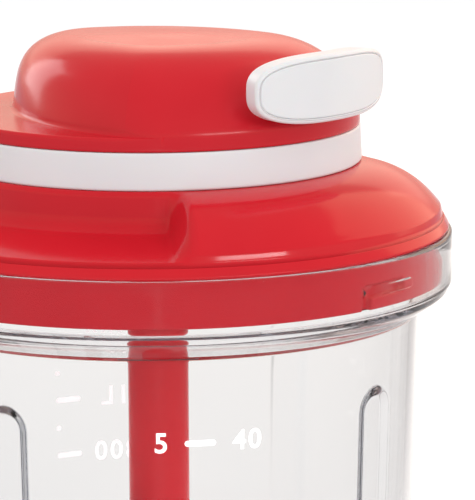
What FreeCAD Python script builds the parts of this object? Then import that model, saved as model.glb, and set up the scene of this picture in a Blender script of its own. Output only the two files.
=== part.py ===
import FreeCAD, Part
import math
import os
import Sketcher

# Pull-cord food chopper: a clear container, a twist-lock cover, a grip housing with a
# spring-returned cord reel, and a blade column that the reel turns.
# Millimetres, +Z up. The origin is on the axis, in the plane that the base ring stands on.
# The handle is pulled along +X. Angles are in degrees about +Z from +X.

SIZES = [
    # Clear container
    ("rim_top", 140.0, "height of the container's rim"),
    ("rim_radius", 77.0, "outside of the rim"),
    ("rim_wall", 2.2, "wall of the rim"),
    ("rim_depth", 17.6, "rim top to the start of the flare"),
    ("rim_round", 2.0, "rounding under the rim"),
    ("neck_depth", 23.2, "rim top to the foot of the flare"),
    ("neck_inset", 8.6, "wall inside the rim's outside, at the neck"),
    ("wall_taper", 3.4, "wall narrower at the base"),
    ("wall_thickness", 2.4, "container wall"),
    ("base_corner", 9.0, "rounding of the base, outside"),
    ("underside", 1.0, "container's underside above the table"),
    ("floor_top", 5.0, "container's inner floor"),
    ("rib_depth", 2.2, "inward reach of a rib"),
    ("rib_angle", 12.0, "width of a rib"),
    ("rib_drop", 34.0, "rim top to the top of the ribs"),
    ("rib_crown", 6.0, "sloping top of a rib"),
    ("rib_turn", 6.0, "direction of the first rib"),
    ("rib_count", 4, "number of ribs"),
    ("lug_reach", 1.8, "inward reach of a bayonet lug"),
    ("lug_height", 2.6, "height of a lug"),
    ("lug_drop", 8.6, "rim top to the underside of a lug"),
    ("lug_angle", 2.0, "width of a lug"),
    ("lug_turn", -6.2, "direction of the first lug"),
    ("lug_count", 4, "number of lugs"),
    ("mark_turn", 3.4, "direction of the first raised mark"),
    ("mark_angle", 8.2, "width of a raised mark"),
    ("mark_proud", 0.4, "height of a raised mark"),
    # Base ring and pivot
    ("ring_inset", 1.0, "base ring inside the rounding of the base"),
    ("ring_width", 6.0, "base ring"),
    ("ring_height", 2.6, "base ring, thickness"),
    ("ring_gap", 0.2, "base ring in its groove"),
    ("boss_radius", 6.0, "boss round the pivot pin"),
    ("boss_height", 4.0, "boss above the floor"),
    ("pin_radius", 2.5, "pivot pin"),
    ("pin_length", 20.8, "pivot pin"),
    ("pin_cover", 2.2, "floor below the pin"),
    # Blade unit
    ("column_radius", 8.0, "blade column"),
    ("column_drop", 1.0, "shoulder of the column below the rim"),
    ("head_radius", 6.0, "corner radius of the hexagonal head"),
    ("head_height", 10.0, "height of the hexagonal head"),
    ("running_fit", 0.05, "radial clearance of a turning fit"),
    ("seat_gap", 0.3, "clearance between seated pieces"),
    ("blade_thickness", 1.2, "steel blades"),
    ("blade_gap", 3.4, "tip of a blade inside the ribs, along the blade"),
    ("blade_root", 10.0, "width of a blade at the column"),
    ("blade_inset", 4.0, "inner end of a blade from the axis"),
    ("blade_shoulder", 10.0, "start of the cutting part from the axis"),
    ("blade_tip_offset", 12.0, "tip of a blade to the side of its root"),
    ("blade_front_radius", 62.0, "curve of the cutting edge"),
    ("blade_back_radius", 90.0, "curve of the back edge"),
    ("slot_gap", 0.1, "blade in its slot"),
    ("lower_blade_height", 15.0, "lower blade"),
    ("middle_blade_height", 40.0, "middle blade"),
    ("upper_blade_height", 65.0, "upper blade"),
    # Lower cover
    ("cover_wall", 2.2, "wall of the moulded covers"),
    ("skirt_gap", 0.3, "skirt inside the rim"),
    ("skirt_depth", 11.9, "rim top to the skirt's edge"),
    ("flange_height", 4.2, "flange above the rim"),
    ("flange_round", 1.6, "rounding of the flange"),
    ("notch_inset", 2.6, "groove between flange and cone, inside the rim's outside"),
    ("cone_radius", 35.0, "curve of the cone"),
    ("cover_rise", 17.9, "seat of the band above the rim"),
    ("recess_step", 1.0, "upright wall of a grip recess outside the band"),
    ("recess_rise", 8.6, "inner edge of a recess floor above the rim"),
    ("recess_round", 4.0, "reach of the rounding at the foot of a recess"),
    ("recess_drop", 1.0, "fall of the floor under that rounding"),
    ("recess_curve", 4.8, "radius of that rounding"),
    ("wing_angle", 84.0, "width of a raised wing"),
    ("wing_end", 3.0, "end wall of a wing, in degrees"),
    ("wing_top_wall", 3.3, "wall of a wing under its top"),
    ("wing_foot_wall", 3.1, "wall of a wing at its foot"),
    ("wing_foot_drop", 1.3, "hollow of a wing below its foot"),
    ("shaft_hole", 12.0, "hole in the ceiling for the coupling"),
    ("lock_turn", 10.0, "turn of the bayonet"),
    ("slot_play", 0.4, "lug in its slot, up and down"),
    ("slot_turn_play", 0.4, "lug in its slot, in degrees"),
    # Band and housing
    ("band_height", 9.5, "white band"),
    ("band_radius", 53.5, "lower edge of the band"),
    ("band_taper", 0.5, "band narrower at its top"),
    ("band_wall", 2.6, "band"),
    ("ledge_height", 3.6, "edge of the housing above the band"),
    ("back_foot", 22.0, "back curve of the grip at its foot"),
    ("back_centre", 18.0, "centre of the back curve behind the axis"),
    ("side_angle", 22.0, "slant of the grip's sides in plan"),
    ("grip_height", 19.8, "grip above its ledge"),
    # Mechanism
    ("plate_thickness", 2.5, "mechanism plate"),
    ("plate_gap", 0.3, "plate inside the band"),
    ("bush_wall", 2.0, "bearing bush"),
    ("bush_flange", 1.0, "flange of the bush"),
    ("hub_radius", 8.0, "hub of the reel"),
    ("reel_lift", 0.3, "reel above the bush"),
    ("reel_floor", 2.0, "floor of the drum"),
    ("drum_radius", 17.0, "drum"),
    ("drum_wall", 2.0, "wall of the drum"),
    ("flange_radius", 21.2, "flanges of the reel"),
    ("flange_thickness", 1.5, "flanges of the reel"),
    ("winding_width", 6.0, "room for the cord between the flanges"),
    ("cord_radius", 0.9, "pull cord"),
    ("winding_gap", 0.1, "winding on the drum"),
    ("cord_play", 0.8, "upper flange above the cord"),
    ("axle_radius", 3.0, "journals of the axle"),
    ("arbor_radius", 4.0, "arbor inside the spring"),
    ("axle_depth", 13.0, "axle below the reel's floor"),
    ("washer_thickness", 0.9, "thrust washer"),
    ("washer_radius", 7.0, "thrust washer"),
    ("axle_boss", 6.0, "boss in the housing's roof"),
    ("boss_gap", 0.9, "boss above the disc over the spring"),
    ("spring_thickness", 0.5, "strip of the spring"),
    ("spring_turns", 7, "turns of the spring"),
    ("cap_thickness", 0.8, "disc over the spring"),
    ("cap_hole", 5.5, "hole in that disc"),
    ("coupling_radius", 11.0, "drive coupling"),
    ("coupling_gap", 0.6, "coupling above the column's shoulder"),
    ("hub_socket", 7.0, "hub inside the coupling"),
    ("socket_gap", 0.25, "column's head in the coupling"),
    # Screws
    ("screw_radius", 1.25, "screws"),
    ("screw_head", 2.6, "screw heads"),
    ("screw_head_height", 1.6, "screw heads"),
    ("screw_boss", 3.2, "bosses and pillars for screws"),
    ("screw_bite", 9.0, "screw inside its boss"),
    ("screw_gap", 0.1, "screw in its hole"),
    ("front_boss_x", 32.0, "front bosses"),
    ("front_boss_y", 21.0, "front bosses"),
    ("back_boss_x", -31.0, "back bosses"),
    ("back_boss_y", 9.0, "back bosses"),
    ("pillar_reach", 40.0, "pillars of the plate from the axis"),
    ("small_screw_radius", 0.7, "reel screws"),
    ("small_screw_length", 5.0, "reel screws"),
    # Handle and cord
    ("handle_gap", 0.4, "handle outside the housing's circle"),
    ("handle_thickness", 7.0, "handle"),
    ("handle_half_length", 25.6, "handle, half of its chord"),
    ("handle_half_height", 7.3, "handle, half of its height"),
    ("handle_corner", 6.0, "corners of the handle"),
    ("handle_back_round", 3.0, "rounding of the handle's back edges"),
    ("handle_front_round", 0.6, "rounding of the handle's front edges"),
    ("handle_rise", 10.3, "handle's middle above the ledge"),
    ("face_border", 1.4, "handle's rim round its face plate"),
    ("face_depth", 1.5, "face plate"),
    ("face_gap", 0.1, "face plate in the handle"),
    ("stop_radius", 2.2, "ferrule on the cord"),
    ("stop_length", 2.4, "ferrule on the cord"),
    ("guide_radius", 4.0, "cord guide"),
    ("guide_collar", 5.5, "collar of the cord guide"),
    ("guide_collar_depth", 1.2, "collar of the cord guide"),
    ("guide_length", 9.6, "cord guide"),
    ("guide_mouth", 0.5, "clearance of the cord in its guide"),
    ("bend_gap", 2.4, "bend of the cord inside its guide"),
    ("bend_radius", 9.0, "curve of the cord there"),
]

# Sections of the grip from its foot to its crown: share of the height, and how far the
# front and the back curves have drawn in, as shares of their size at the foot.
GRIP_SECTIONS = [
    (0.00, 1.000, 1.000),
    (0.30, 0.950, 0.955),
    (0.58, 0.900, 0.895),
    (0.76, 0.850, 0.830),
    (0.88, 0.785, 0.730),
    (0.95, 0.690, 0.600),
    (1.00, 0.480, 0.380),
]
GRIP_CORNER = 0.226  # corner radius of a section as a share of its front radius

doc = FreeCAD.newDocument("cord_chopper")
sheet = doc.addObject("Spreadsheet::Sheet", "Sizes")


class Size:
    """A number that also carries the sheet formula it comes from."""

    def __init__(self, number, formula):
        self.number = number
        self.formula = formula

    def __add__(self, other):
        other = as_size(other)
        return Size(self.number + other.number, f"({self.formula} + {other.formula})")

    def __sub__(self, other):
        other = as_size(other)
        return Size(self.number - other.number, f"({self.formula} - {other.formula})")

    def __mul__(self, other):
        other = as_size(other)
        return Size(self.number * other.number, f"({self.formula} * {other.formula})")

    def __truediv__(self, other):
        other = as_size(other)
        return Size(self.number / other.number, f"({self.formula} / {other.formula})")

    def __neg__(self):
        return Size(-self.number, f"(0 - {self.formula})")

    __radd__ = __add__
    __rmul__ = __mul__

    def __rsub__(self, other):
        return as_size(other) - self


def as_size(value):
    """Turns a plain number into a Size."""
    return value if isinstance(value, Size) else Size(float(value), repr(float(value)))


class Sheet:
    """The driving sizes by name."""


s = Sheet()
for row, (alias, number, words) in enumerate(SIZES, start=1):
    sheet.set(f"A{row}", words)
    sheet.set(f"B{row}", str(number))
    sheet.setAlias(f"B{row}", alias)
    setattr(s, alias, Size(number, f"Sizes.{alias}"))
doc.recompute()


def bind(item, property_name, size):
    """Ties a property of an object to the sheet."""
    item.setExpression(property_name, as_size(size).formula)


def new_body(label):
    """Starts a sub-part."""
    body = doc.addObject("PartDesign::Body", label)
    body.Label = label
    body.AllowCompound = True
    return body


def origin_feature(body, role):
    """Finds an origin plane or axis of a body."""
    return next(item for item in body.Origin.OriginFeatures if item.Role == role)


def sketch_on(body, name, role, height=0, turn=0):
    """Adds a sketch on an origin plane, raised along its normal and turned about +Z."""
    sketch = body.newObject("Sketcher::SketchObject", name)
    sketch.AttachmentSupport = [(origin_feature(body, role), "")]
    sketch.MapMode = "FlatFace"
    upright = FreeCAD.Vector(0, 0, 1) if role == "XY_Plane" else FreeCAD.Vector(0, 1, 0)
    sketch.AttachmentOffset = FreeCAD.Placement(
        FreeCAD.Vector(0, 0, as_size(height).number),
        FreeCAD.Rotation(upright, as_size(turn).number),
    )
    if isinstance(height, Size):
        bind(sketch, "AttachmentOffset.Base.z", height)
    if isinstance(turn, Size):
        bind(sketch, "AttachmentOffset.Rotation.Angle", turn)
    return sketch


def tie_point(sketch, geometry, end, x, y):
    """Ties one point of a sketch to the sheet."""
    for kind, size, axis in (("DistanceX", as_size(x), -2), ("DistanceY", as_size(y), -1)):
        if abs(size.number) < 1e-9:
            sketch.addConstraint(Sketcher.Constraint("PointOnObject", geometry, end, axis))
            continue
        index = sketch.addConstraint(
            Sketcher.Constraint(kind, -1, 1, geometry, end, size.number)
        )
        bind(sketch, f"Constraints[{index}]", size)


def arc_between(start, end, radius):
    """Minor arc from start to end. A positive radius turns left, a negative one right."""
    chord = end - start
    half = chord.Length / 2
    left = FreeCAD.Vector(-chord.y, chord.x, 0).normalize()
    rise = math.sqrt(max(radius * radius - half * half, 0.0))
    centre = start + chord * 0.5 + left * math.copysign(rise, radius)
    first, last = (start, end) if radius > 0 else (end, start)
    angles = [math.atan2(point.y - centre.y, point.x - centre.x) for point in (first, last)]
    if angles[1] < angles[0]:
        angles[1] += 2 * math.pi
    circle = Part.Circle(centre, FreeCAD.Vector(0, 0, 1), abs(radius))
    return Part.ArcOfCircle(circle, angles[0], angles[1])


def outline(sketch, corners):
    """Closed outline of lines and arcs. A corner is (x, y), or (x, y, radius) where an
    arc comes into it. A positive radius turns left."""
    points = [FreeCAD.Vector(as_size(c[0]).number, as_size(c[1]).number, 0) for c in corners]
    ends = []
    for index, corner in enumerate(corners):
        start = points[index - 1]
        end = points[index]
        if len(corner) == 3:
            radius = as_size(corner[2])
            geometry = sketch.addGeometry(arc_between(start, end, radius.number))
            turn_left = radius.number > 0
            ends.append((geometry, 1, 2) if turn_left else (geometry, 2, 1))
        else:
            geometry = sketch.addGeometry(Part.LineSegment(start, end))
            ends.append((geometry, 1, 2))
    for index, (geometry, begin, finish) in enumerate(ends):
        previous, _, previous_finish = ends[index - 1]
        sketch.addConstraint(
            Sketcher.Constraint("Coincident", previous, previous_finish, geometry, begin)
        )
        tie_point(sketch, geometry, finish, corners[index][0], corners[index][1])
        if len(corners[index]) == 3:
            radius = as_size(corners[index][2])
            if radius.number < 0:
                radius = -radius
            number = sketch.addConstraint(
                Sketcher.Constraint("Radius", geometry, radius.number)
            )
            bind(sketch, f"Constraints[{number}]", radius)


def circle_in(sketch, x, y, radius):
    """Circle with its centre and radius tied to the sheet."""
    centre = FreeCAD.Vector(as_size(x).number, as_size(y).number, 0)
    circle = Part.Circle(centre, FreeCAD.Vector(0, 0, 1), as_size(radius).number)
    geometry = sketch.addGeometry(circle)
    tie_point(sketch, geometry, 3, x, y)
    index = sketch.addConstraint(
        Sketcher.Constraint("Radius", geometry, as_size(radius).number)
    )
    bind(sketch, f"Constraints[{index}]", radius)


def check_cut(body, feature, before):
    """Stops if a cut took nothing away."""
    doc.recompute()
    if not feature.Shape.Volume < before - 1e-6:
        raise RuntimeError(f"{body.Label}: {feature.Name} cuts nothing")


def turned(body, name, corners, angle=None, turn=0, cut=False):
    """Revolves an outline given as radius and height, whole or as a sector about turn."""
    before = body.Shape.Volume if cut else 0
    sketch = sketch_on(body, f"{name}_outline", "XZ_Plane", turn=turn)
    outline(sketch, corners)
    feature = body.newObject("PartDesign::Groove" if cut else "PartDesign::Revolution", name)
    feature.Profile = sketch
    feature.ReferenceAxis = (sketch, ["V_Axis"])
    if angle is not None:
        feature.Midplane = True
        bind(feature, "Angle", angle)
    doc.recompute()
    if cut:
        check_cut(body, feature, before)
    return feature


def extruded(body, name, draw, height, depth, turn=0, cut=False, midplane=False):
    """Pads or pockets upwards from a horizontal sketch that the draw function fills."""
    before = body.Shape.Volume if cut else 0
    sketch = sketch_on(body, f"{name}_outline", "XY_Plane", height=height, turn=turn)
    draw(sketch)
    feature = body.newObject("PartDesign::Pocket" if cut else "PartDesign::Pad", name)
    feature.Profile = sketch
    bind(feature, "Length", depth)
    feature.Midplane = midplane
    feature.Reversed = cut and not midplane
    doc.recompute()
    if cut:
        check_cut(body, feature, before)
    return feature


def around(body, feature, count):
    """Repeats a feature about the axis."""
    pattern = body.newObject("PartDesign::PolarPattern", f"{feature.Name}_ring")
    pattern.Originals = [feature]
    pattern.Axis = (origin_feature(body, "Z_Axis"), [""])
    pattern.Angle = 360
    bind(pattern, "Occurrences", count)
    body.Tip = pattern
    doc.recompute()


def box(left, right, low, high):
    """Corners of an upright rectangle, counter-clockwise."""
    return [(left, low), (right, low), (right, high), (left, high)]


# Heights and radii that several pieces share
neck_height = s.rim_top - s.neck_depth
rim_inner = s.rim_radius - s.rim_wall
wall_foot = s.underside + s.base_corner
wall_top_radius = s.rim_radius - s.neck_inset
wall_base_radius = wall_top_radius - s.wall_taper
wall_draft = s.wall_taper / (neck_height - wall_foot)
rib_top = s.rim_top - s.rib_drop
ring_outer = wall_base_radius - s.base_corner - s.ring_inset
ring_inner = ring_outer - s.ring_width
blade_reach = wall_base_radius - s.wall_thickness - s.rib_depth - s.blade_gap
pin_foot = s.underside + s.pin_cover
column_top = s.rim_top - s.column_drop
boss_top = s.floor_top + s.boss_height
pin_top = pin_foot + s.pin_length
skirt_outer = rim_inner - s.skirt_gap
skirt_inner = skirt_outer - s.cover_wall
flange_foot = s.rim_top + s.seat_gap
flange_top = flange_foot + s.flange_height
notch_radius = s.rim_radius - s.notch_inset
cover_top = s.rim_top + s.cover_rise
recess_radius = s.band_radius + s.recess_step
recess_floor = s.rim_top + s.recess_rise
ceiling = cover_top - s.cover_wall
band_top = cover_top + s.band_height
band_inner = s.band_radius - s.band_wall
front_foot = s.band_radius - s.band_taper
ledge_top = band_top + s.ledge_height
handle_height = ledge_top + s.handle_rise
roof_top = ledge_top + s.grip_height
roof_under = roof_top - s.cover_wall
plate_under = band_top - s.plate_thickness
bush_top = band_top + s.bush_flange
reel_low = bush_top + s.reel_lift
reel_floor_top = reel_low + s.reel_floor
upper_flange_low = handle_height + s.cord_radius + s.cord_play
drum_top = upper_flange_low + s.flange_thickness
axle_boss_low = drum_top + s.cap_thickness + s.boss_gap
winding_low = upper_flange_low - s.winding_width
chamber_radius = s.drum_radius - s.drum_wall
arbor_low = reel_floor_top + s.washer_thickness + s.running_fit * 4
coupling_top = plate_under - s.seat_gap
hub_low = coupling_top - s.hub_socket
head_top = column_top + s.head_height
coupling_foot = column_top + s.coupling_gap
handle_inner = front_foot + s.handle_gap
guide_inner = front_foot - s.guide_length
handle_outer = handle_inner + s.handle_thickness
stop_inner = handle_outer - s.face_depth - s.stop_length - s.face_gap * 2
winding_radius = s.drum_radius + s.winding_gap + s.cord_radius * 2


def wall_radius(height):
    """Outside of the container's drafted wall at a height."""
    return wall_base_radius + wall_draft * (height - wall_foot)


def make_container():
    """Clear bowl: one turned wall, inward ribs, bayonet lugs and raised rim marks."""
    body = new_body("container")
    inner_corner = s.base_corner - s.wall_thickness
    inner_base = wall_base_radius - s.wall_thickness
    groove_inner = ring_inner - s.ring_gap
    groove_outer = ring_outer + s.ring_gap
    flare_outer = s.rim_top - s.rim_depth
    turned(body, "wall", [
        (0, s.underside),
        (groove_inner, s.underside),
        (groove_inner, s.ring_height),
        (groove_outer, s.ring_height),
        (groove_outer, s.underside),
        (wall_base_radius - s.base_corner, s.underside),
        (wall_base_radius, wall_foot, s.base_corner),
        (wall_top_radius, neck_height),
        (s.rim_radius - s.rim_round, flare_outer),
        (s.rim_radius, flare_outer + s.rim_round, s.rim_round),
        (s.rim_radius, s.rim_top),
        (rim_inner, s.rim_top),
        (rim_inner, flare_outer + s.rim_wall),
        (wall_top_radius - s.wall_thickness, neck_height + s.rim_wall),
        (inner_base, s.floor_top + inner_corner),
        (inner_base - inner_corner, s.floor_top, -inner_corner),
        (s.boss_radius, s.floor_top),
        (s.boss_radius, boss_top),
        (s.pin_radius, boss_top),
        (s.pin_radius, pin_foot),
        (0, pin_foot),
    ])
    mid_wall = s.wall_thickness * 0.5
    rib_face = s.wall_thickness + s.rib_depth
    rib_shoulder = rib_top - s.rib_crown
    rib_foot = s.floor_top - mid_wall
    rib = turned(body, "rib", [
        (wall_radius(rib_foot) - rib_face, rib_foot),
        (wall_radius(wall_foot) - mid_wall, wall_foot),
        (wall_radius(rib_top) - mid_wall, rib_top),
        (wall_radius(rib_top) - s.wall_thickness, rib_top),
        (wall_radius(rib_shoulder) - rib_face, rib_shoulder),
    ], angle=s.rib_angle, turn=s.rib_turn)
    around(body, rib, s.rib_count)
    mid_rim = s.rim_wall * 0.5
    lug_low = s.rim_top - s.lug_drop
    lug_high = lug_low + s.lug_height
    lug = turned(body, "lug", box(rim_inner - s.lug_reach, rim_inner + mid_rim, lug_low, lug_high),
                 angle=s.lug_angle, turn=s.lug_turn)
    around(body, lug, s.lug_count)
    mark = turned(body, "mark",
                  box(s.rim_radius - mid_rim, s.rim_radius + s.mark_proud, lug_low, lug_high),
                  angle=s.mark_angle, turn=s.mark_turn)
    around(body, mark, s.lug_count)


def make_base_ring():
    """Soft ring let into the underside."""
    body = new_body("base_ring")
    turned(body, "ring", box(ring_inner, ring_outer, 0, s.ring_height))


def make_pivot_pin():
    """Steel pin pressed into the floor, with a bevelled tip."""
    body = new_body("pivot_pin")
    bevel = s.pin_radius * 0.4
    turned(body, "pin", [
        (0, pin_foot),
        (s.pin_radius, pin_foot),
        (s.pin_radius, pin_top - bevel),
        (s.pin_radius - bevel, pin_top),
        (0, pin_top),
    ])


def hexagon(radius):
    """Corners of a hexagon with two corners on the X axis."""
    share = math.sqrt(3) / 2
    return [
        (radius, 0),
        (radius * 0.5, radius * share),
        (radius * -0.5, radius * share),
        (-radius, 0),
        (radius * -0.5, radius * -share),
        (radius * 0.5, radius * -share),
    ]


BLADES = [
    ("lower_blade", s.lower_blade_height, 30),
    ("middle_blade", s.middle_blade_height, 150),
    ("upper_blade", s.upper_blade_height, 270),
]


def make_blade_column():
    """Moulded column that turns on the pin, with slots for the blades and a driven head."""
    body = new_body("blade_column")
    bore = s.pin_radius + s.running_fit
    turned(body, "tube", [
        (bore, boss_top + s.seat_gap),
        (s.column_radius, boss_top + s.seat_gap),
        (s.column_radius, column_top),
        (0, column_top),
        (0, pin_top + s.seat_gap),
        (bore, pin_top + s.seat_gap),
    ])
    extruded(body, "head", lambda sketch: outline(sketch, hexagon(s.head_radius)),
             column_top, s.head_height)
    half = s.blade_root * 0.5 + s.slot_gap
    slot = box(s.blade_inset - s.slot_gap, s.column_radius + s.slot_gap, -half, half)
    for name, height, turn in BLADES:
        extruded(body, f"{name}_slot", lambda sketch: outline(sketch, slot), height,
                 s.blade_thickness + s.slot_gap * 2, turn=turn, cut=True, midplane=True)


def make_blades():
    """Steel blades: a straight root in the column and a swept cutting part."""
    half = s.blade_root * 0.5
    shape = [
        (s.blade_inset, half),
        (s.blade_inset, -half),
        (s.blade_shoulder, -half),
        (blade_reach, s.blade_tip_offset, s.blade_front_radius),
        (s.blade_shoulder, half, -s.blade_back_radius),
    ]
    for name, height, turn in BLADES:
        body = new_body(name)
        extruded(body, "steel", lambda sketch: outline(sketch, shape), 0,
                 s.blade_thickness, midplane=True)
        body.Placement = FreeCAD.Placement(
            FreeCAD.Vector(0, 0, height.number),
            FreeCAD.Rotation(FreeCAD.Vector(0, 0, 1), turn),
        )
        bind(body, "Placement.Base.z", height)


def make_lower_cover():
    """Cover with a skirt inside the rim, two grip recesses and two raised wings."""
    body = new_body("lower_cover")
    wall = s.cover_wall
    foot_radius = recess_radius + s.recess_round
    foot_height = recess_floor - s.recess_drop
    turned(body, "shell", [
        (s.shaft_hole, ceiling),
        (recess_radius - wall, ceiling),
        (recess_radius - wall, recess_floor - wall),
        (skirt_inner, flange_top - wall),
        (skirt_inner, s.rim_top - s.skirt_depth),
        (skirt_outer, s.rim_top - s.skirt_depth),
        (skirt_outer, flange_foot),
        (s.rim_radius, flange_foot),
        (s.rim_radius, flange_top - s.flange_round),
        (s.rim_radius - s.flange_round, flange_top, s.flange_round),
        (notch_radius, flange_top),
        (foot_radius, foot_height),
        (recess_radius, recess_floor + s.recess_round, -s.recess_curve),
        (s.band_radius, cover_top),
        (s.shaft_hole, cover_top),
    ])
    mid_wall = wall * 0.5
    wing = turned(body, "wing", [
        (s.band_radius - wall, cover_top - mid_wall),
        (recess_radius - mid_wall, recess_floor - mid_wall),
        (notch_radius - wall, flange_top - mid_wall),
        (notch_radius, flange_top),
        (s.band_radius, cover_top, s.cone_radius),
        (s.band_radius - wall, cover_top),
    ], angle=s.wing_angle)
    around(body, wing, 2)
    below = wall * 2
    hollow = turned(body, "wing_hollow", [
        (recess_radius, recess_floor - below),
        (notch_radius - below, flange_top - below),
        (notch_radius - s.wing_foot_wall, flange_top - s.wing_foot_drop),
        (recess_radius, cover_top - s.wing_top_wall, s.cone_radius - wall),
    ], angle=s.wing_angle - s.wing_end * 2, cut=True)
    around(body, hollow, 2)
    slot_low = s.rim_top - s.lug_drop - s.slot_play
    slot_high = slot_low + s.lug_height + s.slot_play * 2
    mouth_angle = s.lug_angle + s.slot_turn_play * 2
    inner = skirt_inner - wall
    outer = skirt_outer + s.skirt_gap
    mouth = turned(body, "slot_mouth", box(inner, outer, s.rim_top - s.skirt_depth - wall, slot_high),
                   angle=mouth_angle, turn=s.lug_turn, cut=True)
    around(body, mouth, s.lug_count)
    run = turned(body, "slot_run", box(inner, outer, slot_low, slot_high),
                 angle=mouth_angle + s.lock_turn, turn=s.lug_turn + s.lock_turn * 0.5, cut=True)
    around(body, run, s.lug_count)
    hole = extruded(body, "screw_hole", lambda sketch: circle_in(
        sketch, s.pillar_reach, 0, s.screw_radius + s.screw_gap),
        ceiling, wall, turn=45, cut=True)
    around(body, hole, 4)


def make_trim_band():
    """White ring between the cover and the housing."""
    body = new_body("trim_band")
    turned(body, "band", [
        (band_inner, cover_top),
        (s.band_radius, cover_top),
        (s.band_radius - s.band_taper, band_top),
        (band_inner, band_top),
    ])


def grip_section(body, name, height, front, back):
    """One outline of the grip: a front arc about the axis, a back arc, slanted sides
    that touch the back arc, and corner arcs where the sides meet the front."""
    slant = math.radians(s.side_angle.number)
    corner = front * GRIP_CORNER
    normal = FreeCAD.Vector(-math.sin(slant), math.cos(slant), 0)
    along = FreeCAD.Vector(math.cos(slant), math.sin(slant), 0)
    reach = s.back_centre.number * math.sin(slant) + back.number
    inset = reach - corner.number
    run = math.sqrt((front.number - corner.number) ** 2 - inset ** 2)
    corner_centre = normal * inset + along * run
    back_centre = FreeCAD.Vector(-s.back_centre.number, 0, 0)
    on_front = corner_centre * (front.number / (front.number - corner.number))
    on_side = corner_centre + normal * corner.number
    on_back = back_centre + normal * back.number

    def mirrored(point):
        return FreeCAD.Vector(point.x, -point.y, 0)

    sketch = sketch_on(body, name, "XY_Plane", height=height)
    up = FreeCAD.Vector(0, 0, 1)
    middle = FreeCAD.Vector(0, 0, 0)
    front_angle = math.atan2(on_front.y, on_front.x)
    side_angle = math.atan2(normal.y, normal.x)
    arcs = [
        (Part.Circle(middle, up, front.number), -front_angle, front_angle),
        (Part.Circle(corner_centre, up, corner.number), front_angle, side_angle),
        (Part.Circle(back_centre, up, back.number), side_angle, 2 * math.pi - side_angle),
        (Part.Circle(mirrored(corner_centre), up, corner.number), -side_angle, -front_angle),
    ]
    front_arc, left_corner, back_arc, right_corner = [
        sketch.addGeometry(Part.ArcOfCircle(*arc)) for arc in arcs
    ]
    left_side = sketch.addGeometry(Part.LineSegment(on_side, on_back))
    right_side = sketch.addGeometry(Part.LineSegment(mirrored(on_back), mirrored(on_side)))
    joints = [
        (front_arc, 2, left_corner, 1),
        (left_corner, 2, left_side, 1),
        (left_side, 2, back_arc, 1),
        (back_arc, 2, right_side, 1),
        (right_side, 2, right_corner, 1),
        (right_corner, 2, front_arc, 1),
    ]
    for joint in joints:
        sketch.addConstraint(Sketcher.Constraint("Tangent", *joint))
    tie_point(sketch, front_arc, 3, 0, 0)
    tie_point(sketch, back_arc, 3, -s.back_centre, 0)
    for arc, radius in ((front_arc, front), (back_arc, back),
                        (left_corner, corner), (right_corner, corner)):
        index = sketch.addConstraint(Sketcher.Constraint("Radius", arc, radius.number))
        bind(sketch, f"Constraints[{index}]", radius)
    for side, start, sign in ((left_side, 2, 1), (right_side, 1, -1)):
        index = sketch.addConstraint(
            Sketcher.Constraint("Angle", -1, 1, side, start, sign * slant)
        )
        bind(sketch, f"Constraints[{index}]", s.side_angle * sign)
    return sketch


def grip_form(body, low, high, inset):
    """Lofts the grip's sections between two heights, drawn in by a wall."""
    sections = []
    for index, (share, front_share, back_share) in enumerate(GRIP_SECTIONS):
        sections.append(grip_section(
            body, f"section_{index}", low + (high - low) * share,
            front_foot * front_share - inset, s.back_foot * back_share - inset))
    loft = body.newObject("PartDesign::AdditiveLoft", "grip")
    loft.Profile = sections[0]
    loft.Sections = sections[1:]
    doc.recompute()


def boss_places():
    """Where the plate is screwed to the housing."""
    return [
        (s.front_boss_x, s.front_boss_y),
        (s.front_boss_x, -s.front_boss_y),
        (s.back_boss_x, s.back_boss_y),
        (s.back_boss_x, -s.back_boss_y),
    ]


def cylinder(name, radius, low, high, x=0, y=0):
    """Upright Part cylinder tied to the sheet."""
    item = doc.addObject("Part::Cylinder", name)
    bind(item, "Radius", radius)
    bind(item, "Height", high - low)
    for axis, size in (("x", x), ("y", y), ("z", low)):
        bind(item, f"Placement.Base.{axis}", size)
    return item


def across(name, radius, start, end, height):
    """Part cylinder along +X, from start to end, tied to the sheet."""
    item = doc.addObject("Part::Cylinder", name)
    item.Placement = FreeCAD.Placement(
        FreeCAD.Vector(), FreeCAD.Rotation(FreeCAD.Vector(0, 1, 0), 90))
    bind(item, "Radius", radius)
    bind(item, "Height", end - start)
    bind(item, "Placement.Base.x", start)
    bind(item, "Placement.Base.z", height)
    return item


def joined(label, items):
    """Fuses several objects."""
    fusion = doc.addObject("Part::MultiFuse", label)
    fusion.Label = label
    fusion.Shapes = items
    fusion.Refine = True
    return fusion


def less(label, base, tool):
    """Cuts one object by another."""
    cut = doc.addObject("Part::Cut", label)
    cut.Label = label
    cut.Base = base
    cut.Tool = tool
    return cut


def shared(label, base, tool):
    """What two objects have in common."""
    common = doc.addObject("Part::Common", label)
    common.Label = label
    common.Base = base
    common.Tool = tool
    return common


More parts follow.
